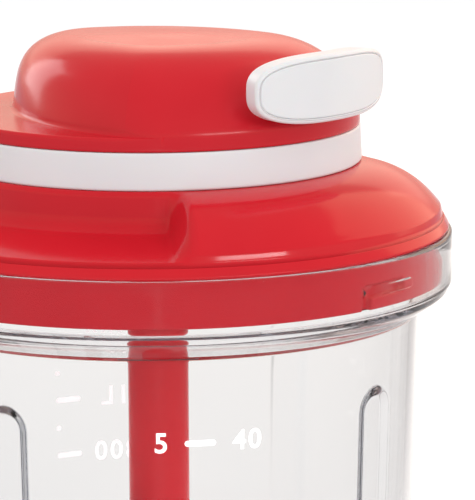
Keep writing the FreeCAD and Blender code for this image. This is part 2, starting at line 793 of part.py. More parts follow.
def make_grip_housing():
    """Hollow grip on a round ledge, with screw bosses, an axle boss and a cord hole."""
    form = new_body("grip_form")
    grip_form(form, ledge_top, roof_top, as_size(0))
    ledge = cylinder("grip_ledge", front_foot, band_top, ledge_top)
    cavity = new_body("grip_cavity")
    cavity_low = ledge_top - s.cover_wall
    grip_form(cavity, cavity_low, roof_under, s.cover_wall)
    rim_hollow = cylinder("ledge_hollow", front_foot - s.cover_wall, band_top, cavity_low)
    shell = less("grip_shell", joined("grip_solid", [form, ledge]),
                 joined("grip_hollow", [cavity, rim_hollow]))
    bosses = [cylinder("axle_boss", s.axle_boss, axle_boss_low, roof_top)]
    holes = [cylinder("axle_hole", s.axle_radius + s.running_fit, axle_boss_low, roof_under)]
    for index, (x, y) in enumerate(boss_places()):
        bosses.append(cylinder(f"screw_boss_{index}", s.screw_boss, band_top,
                               roof_top, x, y))
        holes.append(cylinder(f"boss_hole_{index}", s.screw_radius + s.screw_gap, band_top,
                              band_top + s.screw_bite + s.seat_gap, x, y))
    kept_bosses = shared("bosses_inside", joined("bosses", bosses), joined(
        "grip_envelope", [form, ledge]))
    holes.append(across("cord_hole", s.guide_radius + s.running_fit, guide_inner,
                        handle_outer, handle_height))
    less("grip_housing", joined("grip_with_bosses", [shell, kept_bosses]), joined("grip_holes", holes))


def make_mechanism_plate():
    """Plate under the reel, with pillars down to the cover."""
    body = new_body("mechanism_plate")
    plate_radius = band_inner - s.plate_gap
    hole_radius = s.hub_radius + s.running_fit + s.bush_wall
    turned(body, "plate", box(hole_radius, plate_radius, plate_under, band_top))
    pillar = extruded(body, "pillar", lambda sketch: circle_in(
        sketch, s.pillar_reach, 0, s.screw_boss), cover_top, plate_under - cover_top, turn=45)
    around(body, pillar, 4)
    bite = extruded(body, "pillar_hole", lambda sketch: circle_in(
        sketch, s.pillar_reach, 0, s.screw_radius + s.screw_gap),
        cover_top, plate_under - cover_top, turn=45, cut=True)
    around(body, bite, 4)

    def screw_circles(sketch):
        for x, y in boss_places():
            circle_in(sketch, x, y, s.screw_radius + s.screw_gap)

    extruded(body, "screw_holes", screw_circles, plate_under, s.plate_thickness, cut=True)


def make_drive_bush():
    """Flanged bush in the plate, round the reel's hub."""
    body = new_body("drive_bush")
    bore = s.hub_radius + s.running_fit
    outside = bore + s.bush_wall
    turned(body, "bush", [
        (bore, plate_under),
        (outside, plate_under),
        (outside, band_top),
        (outside + s.bush_wall, band_top),
        (outside + s.bush_wall, bush_top),
        (bore, bush_top),
    ])


def make_cord_guide():
    """Eyelet through the front of the housing: flared towards the reel, with a collar
    outside that the handle rests on."""
    body = new_body("cord_guide")
    sketch = sketch_on(body, "eyelet_outline", "XZ_Plane")
    bore = s.cord_radius + s.guide_mouth
    mouth = bore + s.guide_mouth * 2
    tip = handle_inner - s.handle_gap
    collar_low = tip - s.guide_collar_depth
    axis = handle_height
    outline(sketch, [
        (guide_inner, axis + mouth),
        (guide_inner, axis + s.guide_radius),
        (collar_low, axis + s.guide_radius),
        (collar_low, axis + s.guide_collar),
        (tip, axis + s.guide_collar),
        (tip, axis + bore),
        (guide_inner + mouth, axis + bore),
    ])
    line = sketch.addGeometry(Part.LineSegment(
        FreeCAD.Vector(0, axis.number, 0), FreeCAD.Vector(tip.number, axis.number, 0)), True)
    tie_point(sketch, line, 1, 0, axis)
    tie_point(sketch, line, 2, tip, axis)
    eyelet = body.newObject("PartDesign::Revolution", "eyelet")
    eyelet.Profile = sketch
    eyelet.ReferenceAxis = (sketch, ["Axis0"])
    doc.recompute()


def screw(name, x, y, seat, length):
    """One screw: a head under its seat and a shank up into the boss."""
    head = cylinder(f"{name}_head", s.screw_head, seat - s.screw_head_height, seat, x, y)
    shank = cylinder(f"{name}_shank", s.screw_radius, seat, seat + length, x, y)
    return joined(name, [head, shank])


def make_screws():
    """Screws of the plate and of the cover, each set as one group."""
    plate_set = [
        screw(f"plate_screw_{index}", x, y, plate_under, s.plate_thickness + s.screw_bite)
        for index, (x, y) in enumerate(boss_places())
    ]
    corner = s.pillar_reach * math.sqrt(0.5)
    corners = [(corner, corner), (-corner, corner), (-corner, -corner), (corner, -corner)]
    cover_set = [
        screw(f"cover_screw_{index}", x, y, ceiling, plate_under - ceiling - s.seat_gap)
        for index, (x, y) in enumerate(corners)
    ]
    for label, items in (("plate_screws", plate_set), ("cover_screws", cover_set)):
        group = doc.addObject("Part::Compound", label)
        group.Label = label
        group.Links = items


def make_axle():
    """Steel arbor: a journal in the roof, the arbor, and a journal down in the hub."""
    body = new_body("axle")
    arbor_top = axle_boss_low - s.seat_gap
    axle_top = roof_under - s.seat_gap
    turned(body, "arbor", [
        (0, reel_floor_top - s.axle_depth),
        (s.axle_radius, reel_floor_top - s.axle_depth),
        (s.axle_radius, arbor_low),
        (s.arbor_radius, arbor_low),
        (s.arbor_radius, arbor_top),
        (s.axle_radius, arbor_top),
        (s.axle_radius, axle_top),
        (0, axle_top),
    ])


def make_thrust_washer():
    """Washer between the arbor's shoulder and the reel's floor."""
    body = new_body("thrust_washer")
    low = reel_floor_top + s.running_fit * 2
    turned(body, "washer", box(s.axle_radius + s.running_fit, s.washer_radius,
                               low, low + s.washer_thickness))


REEL_SCREW_TURNS = (60, 180, 300)


def make_cord_reel():
    """Drum with two flanges, open at the top for the spring, on a hollow hub."""
    body = new_body("cord_reel")
    bore = s.axle_radius + s.running_fit
    lower_flange_low = winding_low - s.flange_thickness
    turned(body, "reel", [
        (bore, hub_low),
        (s.hub_radius, hub_low),
        (s.hub_radius, reel_low),
        (s.drum_radius, reel_low),
        (s.drum_radius, lower_flange_low),
        (s.flange_radius, lower_flange_low),
        (s.flange_radius, winding_low),
        (s.drum_radius, winding_low),
        (s.drum_radius, upper_flange_low),
        (s.flange_radius, upper_flange_low),
        (s.flange_radius, drum_top),
        (chamber_radius, drum_top),
        (chamber_radius, reel_floor_top),
        (bore, reel_floor_top),
    ])
    middle = chamber_radius + s.drum_wall * 0.5
    for turn in REEL_SCREW_TURNS:
        extruded(body, f"screw_hole_{turn}", lambda sketch: circle_in(
            sketch, middle, 0, s.small_screw_radius + s.running_fit),
            drum_top - s.small_screw_length, s.small_screw_length, turn=turn, cut=True)


def make_cord_winding():
    """Turns of cord put away on the drum, as one closed ring."""
    body = new_body("cord_winding")
    turned(body, "turns", box(s.drum_radius + s.winding_gap, winding_radius,
                              winding_low + s.winding_gap, upper_flange_low - s.winding_gap))


def make_recoil_spring():
    """Flat strip wound as half circles about two centres, so that each half turn is
    wider than the last by half of the pitch."""
    half_strip = s.spring_thickness.number / 2
    first = s.arbor_radius.number + s.seat_gap.number + half_strip
    last = chamber_radius.number - s.seat_gap.number - half_strip
    halves = 2 * int(s.spring_turns.number)
    step = (last - first) / halves
    low = arbor_low.number + s.seat_gap.number
    high = drum_top.number - s.seat_gap.number
    up = FreeCAD.Vector(0, 0, 1)

    def side(offset):
        edges = []
        for index in range(halves):
            centre = FreeCAD.Vector(step / 2 if index % 2 else -step / 2, 0, low)
            radius = first + step / 2 + index * step + offset
            start = math.pi * (index % 2)
            circle = Part.Circle(centre, up, radius)
            edges.append(Part.ArcOfCircle(circle, start, start + math.pi).toShape())
        return edges

    inner = side(-half_strip)
    outer = side(half_strip)
    ends = [
        Part.LineSegment(inner[0].firstVertex(True).Point, outer[0].firstVertex(True).Point),
        Part.LineSegment(inner[-1].lastVertex(True).Point, outer[-1].lastVertex(True).Point),
    ]
    wire = Part.Wire(Part.sortEdges(inner + outer + [end.toShape() for end in ends])[0])
    strip = doc.addObject("Part::Feature", "recoil_spring")
    strip.Label = "recoil_spring"
    strip.Shape = Part.Face(wire).extrude(FreeCAD.Vector(0, 0, high - low))


def make_spring_cover():
    """Disc on the drum's rim that keeps the spring in."""
    body = new_body("spring_cover")
    turned(body, "disc", box(s.cap_hole, s.drum_radius, drum_top, drum_top + s.cap_thickness))
    middle = chamber_radius + s.drum_wall * 0.5
    for turn in REEL_SCREW_TURNS:
        extruded(body, f"screw_hole_{turn}", lambda sketch: circle_in(
            sketch, middle, 0, s.small_screw_radius + s.running_fit),
            drum_top, s.cap_thickness, turn=turn, cut=True)


def make_reel_screws():
    """Three small headless screws through the disc."""
    middle = chamber_radius + s.drum_wall * 0.5
    items = []
    for turn in REEL_SCREW_TURNS:
        angle = math.radians(turn)
        items.append(cylinder(
            f"reel_screw_{turn}", s.small_screw_radius, drum_top - s.small_screw_length + s.seat_gap,
            drum_top + s.cap_thickness, middle * math.cos(angle), middle * math.sin(angle)))
    group = doc.addObject("Part::Compound", "reel_screws")
    group.Label = "reel_screws"
    group.Links = items


def make_drive_coupling():
    """Socket: the reel's hub sits in its top, the column's hexagonal head in its foot."""
    body = new_body("drive_coupling")
    turned(body, "block", [
        (0, coupling_foot),
        (s.coupling_radius, coupling_foot),
        (s.coupling_radius, coupling_top),
        (s.hub_radius + s.running_fit, coupling_top),
        (s.hub_radius + s.running_fit, hub_low),
        (0, hub_low),
    ])
    extruded(body, "socket", lambda sketch: outline(sketch, hexagon(s.head_radius + s.socket_gap)),
             coupling_foot, head_top + s.seat_gap - coupling_foot, cut=True)


def curved_plate(label, inset, inner, outer):
    """Rounded rectangle seen from the front, bent round the axis between two radii."""
    half_length = s.handle_half_length - inset
    half_height = s.handle_half_height - inset
    corner = s.handle_corner - inset
    block = new_body(f"{label}_block")
    sketch = sketch_on(block, "front", "YZ_Plane")
    low = handle_height - half_height
    high = handle_height + half_height
    outline(sketch, [
        (half_length - corner, low),
        (half_length, low + corner, corner),
        (half_length, high - corner),
        (half_length - corner, high, corner),
        (corner - half_length, high),
        (-half_length, high - corner, corner),
        (-half_length, low + corner),
        (corner - half_length, low, corner),
    ])
    pad = block.newObject("PartDesign::Pad", "block")
    pad.Profile = sketch
    bind(pad, "Length", handle_outer + s.handle_thickness)
    doc.recompute()
    ring = less(f"{label}_ring", cylinder(f"{label}_outside", outer, low, high),
                cylinder(f"{label}_inside", inner, low, high))
    return shared(label, block, ring)


def rounded(label, base, edge_radius, rounding):
    """Rounds the edges that lie on a cylinder of the given radius about the axis."""
    doc.recompute()
    chosen = []
    for index, edge in enumerate(base.Shape.Edges, start=1):
        reach = [math.hypot(vertex.X, vertex.Y) for vertex in edge.Vertexes]
        if all(abs(radius - edge_radius.number) < 1e-3 for radius in reach):
            chosen.append((index, rounding.number, rounding.number))
    fillet = doc.addObject("Part::Fillet", label)
    fillet.Label = label
    fillet.Base = base
    fillet.Edges = chosen
    return fillet


def make_handle():
    """Curved pull handle with a face plate let into its front, and the cord's ferrule."""
    face_floor = handle_outer - s.face_depth
    blank = curved_plate("handle_blank", as_size(0), handle_inner, handle_outer)
    back = rounded("handle_back", blank, handle_inner, s.handle_back_round)
    plate = rounded("handle_plate", back, handle_outer, s.handle_front_round)
    recess = curved_plate("handle_recess", s.face_border, face_floor, handle_outer + s.face_gap)
    curved_plate("handle_face", s.face_border + s.face_gap, face_floor, handle_outer - s.face_gap)
    cord_hole = across("handle_cord_hole", s.cord_radius + s.guide_mouth, guide_inner,
                       handle_outer, handle_height)
    stop_hole = across("handle_stop_hole", s.stop_radius + s.face_gap, stop_inner,
                       handle_outer, handle_height)
    less("handle_shell", plate, joined("handle_cuts", [recess, cord_hole, stop_hole]))
    stop_end = stop_inner + s.stop_length
    less("cord_stop",
         across("stop_outside", s.stop_radius, stop_inner, stop_end, handle_height),
         across("stop_bore", s.cord_radius + s.face_gap, stop_inner - s.face_gap,
                stop_end + s.face_gap, handle_height))


def make_pull_cord():
    """Cord from the drum's side, round one bend into its guide, and out to the ferrule."""
    body = new_body("pull_cord")
    lead_radius = winding_radius.number + s.winding_gap.number + s.cord_radius.number
    bend_x = (guide_inner - s.bend_gap).number
    contact = math.acos(lead_radius / bend_x)
    start = FreeCAD.Vector(lead_radius * math.cos(contact), lead_radius * math.sin(contact), 0)
    corner = FreeCAD.Vector(bend_x, 0, 0)
    turn = math.atan2(start.y, bend_x - start.x)
    setback = s.bend_radius * math.tan(turn / 2)
    arc_start = corner + (start - corner).normalize() * setback.number
    end_x = stop_inner + s.stop_length
    path = sketch_on(body, "route", "XY_Plane", height=handle_height)
    arc_end = FreeCAD.Vector(bend_x + setback.number, 0, 0)
    end = FreeCAD.Vector(end_x.number, 0, 0)
    straight = path.addGeometry(Part.LineSegment(end, arc_end))
    bend = path.addGeometry(arc_between(arc_start, arc_end, s.bend_radius.number))
    lead = path.addGeometry(Part.LineSegment(arc_start, start))
    path.addConstraint(Sketcher.Constraint("Tangent", straight, 2, bend, 2))
    path.addConstraint(Sketcher.Constraint("Tangent", bend, 1, lead, 1))
    tie_point(path, straight, 1, end_x, 0)
    tie_point(path, straight, 2, guide_inner - s.bend_gap + setback, 0)
    tie_point(path, lead, 2, start.x, start.y)
    profile = sketch_on(body, "section", "YZ_Plane", height=end_x)
    circle_in(profile, 0, handle_height, s.cord_radius)
    pipe = body.newObject("PartDesign::AdditivePipe", "cord")
    pipe.Profile = profile
    pipe.Spine = (path, ["Edge1", "Edge2", "Edge3"])
    doc.recompute()
    length = (end - arc_end).Length + s.bend_radius.number * turn + (arc_start - start).Length
    section = math.pi * s.cord_radius.number ** 2
    print(f"pull_cord: {length:.1f} mm, volume over section times length "
          f"{body.Shape.Volume / (section * length):.4f}, bend {s.bend_radius.number} mm")


NODES = [
    "container", "base_ring", "pivot_pin",
    "blade_column", "lower_blade", "middle_blade", "upper_blade",
    "lower_cover", "trim_band", "grip_housing", "mechanism_plate", "drive_bush", "cord_guide",
    "plate_screws", "cover_screws",
    "axle", "thrust_washer",
    "cord_reel", "cord_winding", "recoil_spring", "spring_cover", "reel_screws", "drive_coupling",
    "handle_shell", "handle_face", "cord_stop", "pull_cord",
]

make_container()
make_base_ring()
make_pivot_pin()
make_blade_column()
make_blades()
make_lower_cover()
make_trim_band()
make_grip_housing()
make_mechanism_plate()
make_drive_bush()
make_cord_guide()
make_screws()
make_axle()
make_thrust_washer()
make_cord_reel()
make_cord_winding()
make_recoil_spring()
make_spring_cover()
make_reel_screws()
make_drive_coupling()
make_handle()
make_pull_cord()
doc.recompute()

for item in doc.Objects:
    if "Invalid" in item.State or "Error" in item.State:
        raise RuntimeError(f"{item.Label} failed: {item.State}")
os.makedirs("parts", exist_ok=True)
for node in NODES:
    part = doc.getObjectsByLabel(node)[0]
    if part.Shape.isNull() or not part.Shape.isValid():
        raise RuntimeError(f"{node} has no valid shape")
for node in NODES:
    part = doc.getObjectsByLabel(node)[0]
    part.Shape.exportStep(f"parts/{node}.step")
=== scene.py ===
import bmesh
import bpy
import math
import numpy as np
from mathutils import Matrix, Vector


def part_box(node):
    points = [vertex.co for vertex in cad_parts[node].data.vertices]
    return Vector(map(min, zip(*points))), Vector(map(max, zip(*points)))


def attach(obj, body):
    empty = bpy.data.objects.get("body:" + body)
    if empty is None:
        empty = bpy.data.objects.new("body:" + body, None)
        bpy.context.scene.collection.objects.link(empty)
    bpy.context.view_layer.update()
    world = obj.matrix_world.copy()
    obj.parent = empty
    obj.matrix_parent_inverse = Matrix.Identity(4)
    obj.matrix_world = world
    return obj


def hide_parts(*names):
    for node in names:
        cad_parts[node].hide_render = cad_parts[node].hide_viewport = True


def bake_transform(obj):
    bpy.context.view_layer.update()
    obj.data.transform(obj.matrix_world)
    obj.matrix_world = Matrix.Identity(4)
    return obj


# Pull-cord food chopper: clear container, red twist-lock cover, white band, red grip and white pull handle.
# Pieces are worked out in millimetres in the frame's own axes and stored in metres.
# Angles are in degrees about +Z from +X.

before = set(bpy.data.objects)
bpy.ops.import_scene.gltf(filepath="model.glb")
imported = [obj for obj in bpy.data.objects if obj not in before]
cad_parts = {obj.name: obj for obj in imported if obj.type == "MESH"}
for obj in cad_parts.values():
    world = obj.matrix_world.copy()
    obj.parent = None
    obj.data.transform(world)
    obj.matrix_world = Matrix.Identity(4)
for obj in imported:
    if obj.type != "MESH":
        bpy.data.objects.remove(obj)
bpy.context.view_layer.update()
MM = 0.001


def top_of(node):
    """Height of a node's top in millimetres."""
    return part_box(node)[1].z / MM


def foot_of(node):
    """Height of a node's foot in millimetres."""
    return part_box(node)[0].z / MM


# Sizes of the container
RIM_TOP = top_of("container")
RIM_RADIUS = 77.0
RIM_INNER = 74.8
RIM_FOOT = RIM_TOP - 15.8
NECK = RIM_TOP - 20.9
WALL_TOP_RADIUS = 68.4
WALL_BASE_RADIUS = 65.0
WALL = 2.4
BASE_CORNER = 9.0
UNDERSIDE = foot_of("container")
FLOOR_TOP = UNDERSIDE + 4.0
RING_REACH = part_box("base_ring")[1].x / MM
RING_INNER = RING_REACH - 6.2
RING_OUTER = RING_REACH + 0.2
RING_TOP = top_of("base_ring")
PIN_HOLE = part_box("pivot_pin")[1].x / MM + 0.02
PIN_FOOT = foot_of("pivot_pin")
BOSS_RADIUS = 6.0
BOSS_TOP = FLOOR_TOP + 4.0
# Ribs on the inner wall, lugs on the inner rim and raised marks on the outer rim, four of each
QUARTERS = np.arange(4) * 90.0
RIB_TURN = 6.0
RIB_RADIUS = 64.0
RIB_HALF = 5.1
RIB_DEPTH = 2.0
RIB_EDGE = 3.4
RIB_FADE = 6.0
RIB_ARCH = RIM_TOP - 41.0
LUG_TURN = -6.2
LUG_HALF_WIDTH = 1.0
LUG_HALF_HEIGHT = 0.9
LUG_REACH = 0.5
LUG_EDGE = 3.0
LUG_MIDDLE = RIM_TOP - 7.3
MARK_TURN = 1.5
MARK_HALF_WIDTH = 6.2
MARK_HALF_HEIGHT = 1.2
MARK_PROUD = 0.4
MARK_EDGE = 0.45
MARK_LEVEL = RIM_TOP - 6.8

# Sizes of the cover and band
SKIRT_OUTER = 74.5
SKIRT_INNER = 72.3
SKIRT_FOOT = RIM_TOP - 11.9
FLANGE_FOOT = RIM_TOP + 0.15
FLANGE_RADIUS = RIM_RADIUS - 0.8
CONE_FOOT = RIM_TOP + 4.2
CONE_RADIUS = 74.4
CONE_BOW = 2.3
COVER_TOP = foot_of("trim_band")
COVER_WALL = 2.2
SHAFT_HOLE = 12.0
RECESS_RADIUS = 54.5
RECESS_FLOOR = RIM_TOP + 8.2
WING_HALF = 42.0
WING_RADIUS = 64.0
# Grooves in the skirt, in which the lugs run when the cover is turned
GROOVE_HALF = 1.5
GROOVE_DEPTH = 1.5
GROOVE_EDGE = 0.4
LOCK_TURN = 10.0
BAND_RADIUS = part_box("trim_band")[1].x / MM
BAND_TOP = top_of("trim_band")
BAND_INNER = BAND_RADIUS - 2.6
BAND_TAPER = 0.5

# Sizes of the grip
LEDGE_RADIUS = BAND_RADIUS - BAND_TAPER
LEDGE_TOP = BAND_TOP + 3.6
LEDGE_BROW = 0.9
LEDGE_FILLET = 1.2
GRIP_TOP = top_of("grip_housing")
GRIP_DOME = 0.7
GRIP_BACK = 24.0
GRIP_BACK_CENTRE = 17.1
# Where the front arc meets the corner arc, and radii of corner and side arcs as shares of the front radius
GRIP_MEET = math.radians(46.6)
GRIP_CORNER = 0.302
GRIP_SIDE = 1.34

# Sizes of the handle and cord
CORD_LEVEL = (foot_of("handle_shell") + top_of("handle_shell")) / 2
CORD_RADIUS = 0.9
CORD_PITCH = 1.95
DRUM_RADIUS = 18.0
DRUM_TURNS = 3
HANDLE_MIDDLE = CORD_LEVEL + 0.25
HANDLE_HALF_HEIGHT = 8.4
HANDLE_HALF_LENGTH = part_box("handle_shell")[1].y / MM + 0.2
HANDLE_INNER = 53.4
HANDLE_OUTER = 60.4
HANDLE_ROUNDNESS = 3.2

# Sizes of the printed scale
TICK_LENGTH = 7.8
TICK_THICK = 1.5

# The view: direction of the camera from the axis in degrees, its distance and height in metres
VIEW_TURN = -49.0
CAMERA_DISTANCE = 0.804
CAMERA_HEIGHT = 0.284

# Cells of cloudy colour, uneven polish and flow waves in plastic, in millimetres
CLOUD_MM = 30.0
POLISH_MM = 14.0
WAVE_MM = 22.0
# The range that noise mostly fills
NOISE_LOW = 0.3
NOISE_HIGH = 0.7
# Sockets of a Mix node for colours, whose names it also gives to other sockets
FACTOR = 0
COLOUR_A = 6
COLOUR_B = 7
COLOUR_OUT = 2


def linear(hex_colour):
    """An sRGB hex colour as linear RGBA."""
    channels = [int(hex_colour[place:place + 2], 16) / 255 for place in (1, 3, 5)]
    return [c / 12.92 if c <= 0.04045 else ((c + 0.055) / 1.055) ** 2.4 for c in channels] + [1.0]


def add(tree, kind, inputs=None, **settings):
    """Adds a node: settings are its properties, inputs are constants or sockets to link."""
    node = tree.nodes.new(kind)
    for name, value in settings.items():
        setattr(node, name, value)
    for name, value in (inputs or {}).items():
        if isinstance(value, bpy.types.NodeSocket):
            tree.links.new(value, node.inputs[name])
        else:
            node.inputs[name].default_value = value
    return node


def new_material(name, **constants):
    """A material with one Principled shader whose constant inputs are set on the shader itself."""
    material = bpy.data.materials.new(name)
    material.use_nodes = True
    tree = material.node_tree
    tree.nodes.clear()
    inputs = {key.replace("_", " "): value for key, value in constants.items()}
    shader = add(tree, "ShaderNodeBsdfPrincipled", inputs)
    add(tree, "ShaderNodeOutputMaterial", {"Surface": shader.outputs[0]})
    return material, tree, shader


def moulded_plastic(name, light, dark, roughness, grain_mm, grain_depth_mm, **constants):
    """Injection-moulded plastic: faint cloudy colour, uneven polish and a moulded grain, each from noise on
    Object coordinates with cells of its own size."""
    material, tree, shader = new_material(name, **constants)
    place = add(tree, "ShaderNodeTexCoord").outputs["Object"]
    noises = []
    for cell_mm, detail in ((CLOUD_MM, 2.0), (POLISH_MM, 1.0), (grain_mm, 3.0)):
        scaled = add(tree, "ShaderNodeMapping", {"Vector": place, "Scale": [1 / (cell_mm * MM)] * 3})
        inputs = {"Vector": scaled.outputs[0], "Scale": 1.0, "Detail": detail}
        noises.append(add(tree, "ShaderNodeTexNoise", inputs).outputs[0])
    cloud, polish, grain = noises
    cloudy = add(tree, "ShaderNodeMapRange", {"Value": cloud, "From Min": NOISE_LOW, "From Max": NOISE_HIGH,
                                              "To Min": 0.0, "To Max": 1.0})
    colours = {FACTOR: cloudy.outputs[0], COLOUR_A: linear(light), COLOUR_B: linear(dark)}
    colour = add(tree, "ShaderNodeMix", colours, data_type="RGBA")
    tree.links.new(colour.outputs[COLOUR_OUT], shader.inputs["Base Color"])
    uneven = add(tree, "ShaderNodeMapRange", {"Value": polish, "From Min": NOISE_LOW, "From Max": NOISE_HIGH,
                                              "To Min": roughness - 0.02, "To Max": roughness + 0.03})
    tree.links.new(uneven.outputs[0], shader.inputs["Roughness"])
    relief = add(tree, "ShaderNodeBump", {"Height": grain, "Distance": grain_depth_mm * MM, "Strength": 1.0})
    tree.links.new(relief.outputs[0], shader.inputs["Normal"])
    return material


# Gloss ABS: polished mould, so it gives sharp reflections over a deep warm red.
GLOSS_RED = moulded_plastic("gloss_red_abs", "#D4202C", "#CC1C29", 0.14, 2.5, 0.003, IOR=1.54,
                            Specular_IOR_Level=0.28)
# Textured ABS: spark-eroded mould, so highlights break into a fine grain.
SATIN_RED = moulded_plastic("satin_red_abs", "#D2202C", "#CA1C29", 0.19, 0.55, 0.006, IOR=1.54,
                            Specular_IOR_Level=0.28)
# Gloss ABS of the column: the cover's red painted lighter, painted light that makes up for the light the
# clear wall takes, so that it looks through the wall about as the cover's red does.
COLUMN_RED_PAINTED_LIGHT = moulded_plastic("gloss_red_column_abs_painted_light", "#E2222E", "#DA1E2B", 0.16, 2.5, 0.003, IOR=1.54,
                             Specular_IOR_Level=0.28)
# White polypropylene: waxy satin with a soft edge to its highlights.
SATIN_WHITE = moulded_plastic("satin_white_polypropylene", "#EDEDEE", "#E6E7E9", 0.34, 0.8, 0.006, IOR=1.49,
                              Subsurface_Weight=0.08, Subsurface_Scale=0.002)
# Grey nylon of the mechanism: dull, slightly mottled.
GREY_NYLON = moulded_plastic("grey_glass_filled_nylon", "#6A6E73", "#5C6066", 0.48, 0.7, 0.012, IOR=1.53)
# Natural acetal of the bearings: milky and slippery.
NATURAL_ACETAL = moulded_plastic("natural_acetal", "#EBE8DD", "#E1DED2", 0.36, 0.9, 0.006, IOR=1.48,
                                 Subsurface_Weight=0.15, Subsurface_Scale=0.0015)
# Soft rubber of the base ring: matte with a chalky bloom.
PALE_RUBBER = moulded_plastic("pale_thermoplastic_rubber", "#C9CBCE", "#BCBEC2", 0.72, 0.6, 0.020, IOR=1.50)
# White pad-printing ink: flat on the clear wall. Its emission is a painted glow, painted light that stands in
# for the light behind the thin ink.
PRINT_WHITE_PAINTED_GLOW = moulded_plastic("white_printing_ink_painted_glow", "#FBFBFB", "#F3F4F5", 0.55, 0.4, 0.004, IOR=1.50,
                              Emission_Color=linear("#FFFFFF"), Emission_Strength=0.55)


def clear_plastic():
    """Clear SAN, polished both sides: nearly colourless, greyer where one looks along the wall, with faint
    flow waves that bend what lies behind it. Light of lamps and of matte surfaces goes straight through."""
    material, tree, shader = new_material("clear_san", Base_Color=linear("#FBFCFC"), Transmission_Weight=1.0,
                                          IOR=1.46, Roughness=0.0, Specular_Tint=linear("#888888"))
    place = add(tree, "ShaderNodeTexCoord").outputs["Object"]
    drawn_out = [1 / (WAVE_MM * MM * part) for part in (1, 1, 2.5)]
    scaled = add(tree, "ShaderNodeMapping", {"Vector": place, "Scale": drawn_out})
    flow = add(tree, "ShaderNodeTexNoise", {"Vector": scaled.outputs[0], "Scale": 1.0, "Detail": 1.0})
    waves = add(tree, "ShaderNodeBump", {"Height": flow.outputs[0], "Distance": 0.02 * MM, "Strength": 1.0})
    tree.links.new(waves.outputs[0], shader.inputs["Normal"])
    path = add(tree, "ShaderNodeLightPath").outputs
    open_way = add(tree, "ShaderNodeBsdfTransparent", {"Color": linear("#FCFDFD")}).outputs[0]
    look = shader.outputs[0]
    for ray in ("Is Shadow Ray", "Is Diffuse Ray"):
        look = add(tree, "ShaderNodeMixShader", {0: path[ray], 1: look, 2: open_way}).outputs[0]
    tree.links.new(look, tree.nodes["Material Output"].inputs["Surface"])
    depth = add(tree, "ShaderNodeVolumeAbsorption", {"Color": linear("#C8CAD2"), "Density": 14.0})
    tree.links.new(depth.outputs[0], tree.nodes["Material Output"].inputs["Volume"])
    return material


def ground_steel(name, colour, grit_mm, stretch, roughness):
    """Steel with grinding marks: fine noise drawn out along some axes into lines, across which highlights
    spread."""
    material, tree, shader = new_material(name, Base_Color=linear(colour), Metallic=1.0)
    place = add(tree, "ShaderNodeTexCoord").outputs["Object"]
    drawn_out = [1 / (grit_mm * MM * part) for part in stretch]
    scaled = add(tree, "ShaderNodeMapping", {"Vector": place, "Scale": drawn_out})
    lines = add(tree, "ShaderNodeTexNoise", {"Vector": scaled.outputs[0], "Scale": 1.0, "Detail": 4.0})
    uneven = add(tree, "ShaderNodeMapRange", {"Value": lines.outputs[0], "From Min": NOISE_LOW,
                                              "From Max": NOISE_HIGH, "To Min": roughness - 0.06,
                                              "To Max": roughness + 0.08})
    tree.links.new(uneven.outputs[0], shader.inputs["Roughness"])
    marks = add(tree, "ShaderNodeBump", {"Height": lines.outputs[0], "Distance": 0.004 * MM, "Strength": 1.0})
    tree.links.new(marks.outputs[0], shader.inputs["Normal"])
    return material


CLEAR_SAN = clear_plastic()
# Stainless blades, ground flat: bright with fine lines across the blade.
BLADE_STEEL = ground_steel("ground_stainless_steel", "#C9CCD0", 0.5, (12, 1, 1), 0.20)
# Turned and plated steel of pins, axle and screws: fine rings about the axis.
TURNED_STEEL = ground_steel("turned_zinc_plated_steel", "#AEB2B8", 0.4, (20, 20, 1), 0.28)


def braided_cord():
    """Braided polyester: two crossing sets of strands, drawn 1.6 mm apart so that they show. One wave of the
    texture is 0.16 units long at its scale of 2."""
    strand_mm = 1.6
    wave_length = 0.16
    material, tree, shader = new_material("braided_polyester", Roughness=0.75, IOR=1.5, Sheen_Weight=0.3)
    place = add(tree, "ShaderNodeTexCoord").outputs["Object"]
    strands = []
    for lean in (45, -45):
        turned = add(tree, "ShaderNodeMapping", {"Vector": place, "Rotation": (0, math.radians(lean), 0),
                                                 "Scale": [wave_length / (strand_mm * MM)] * 3})
        strands.append(add(tree, "ShaderNodeTexWave", {"Vector": turned.outputs[0], "Scale": 2.0}).outputs[1])
    weave = add(tree, "ShaderNodeMath", {0: strands[0], 1: strands[1]}, operation="MAXIMUM").outputs[0]
    colours = {FACTOR: weave, COLOUR_A: linear("#C9CACC"), COLOUR_B: linear("#F0F0EE")}
    colour = add(tree, "ShaderNodeMix", colours, data_type="RGBA")
    tree.links.new(colour.outputs[COLOUR_OUT], shader.inputs["Base Color"])
    relief = add(tree, "ShaderNodeBump", {"Height": weave, "Distance": 0.15 * MM, "Strength": 1.0})
    tree.links.new(relief.outputs[0], shader.inputs["Normal"])
    return material


BRAID = braided_cord()


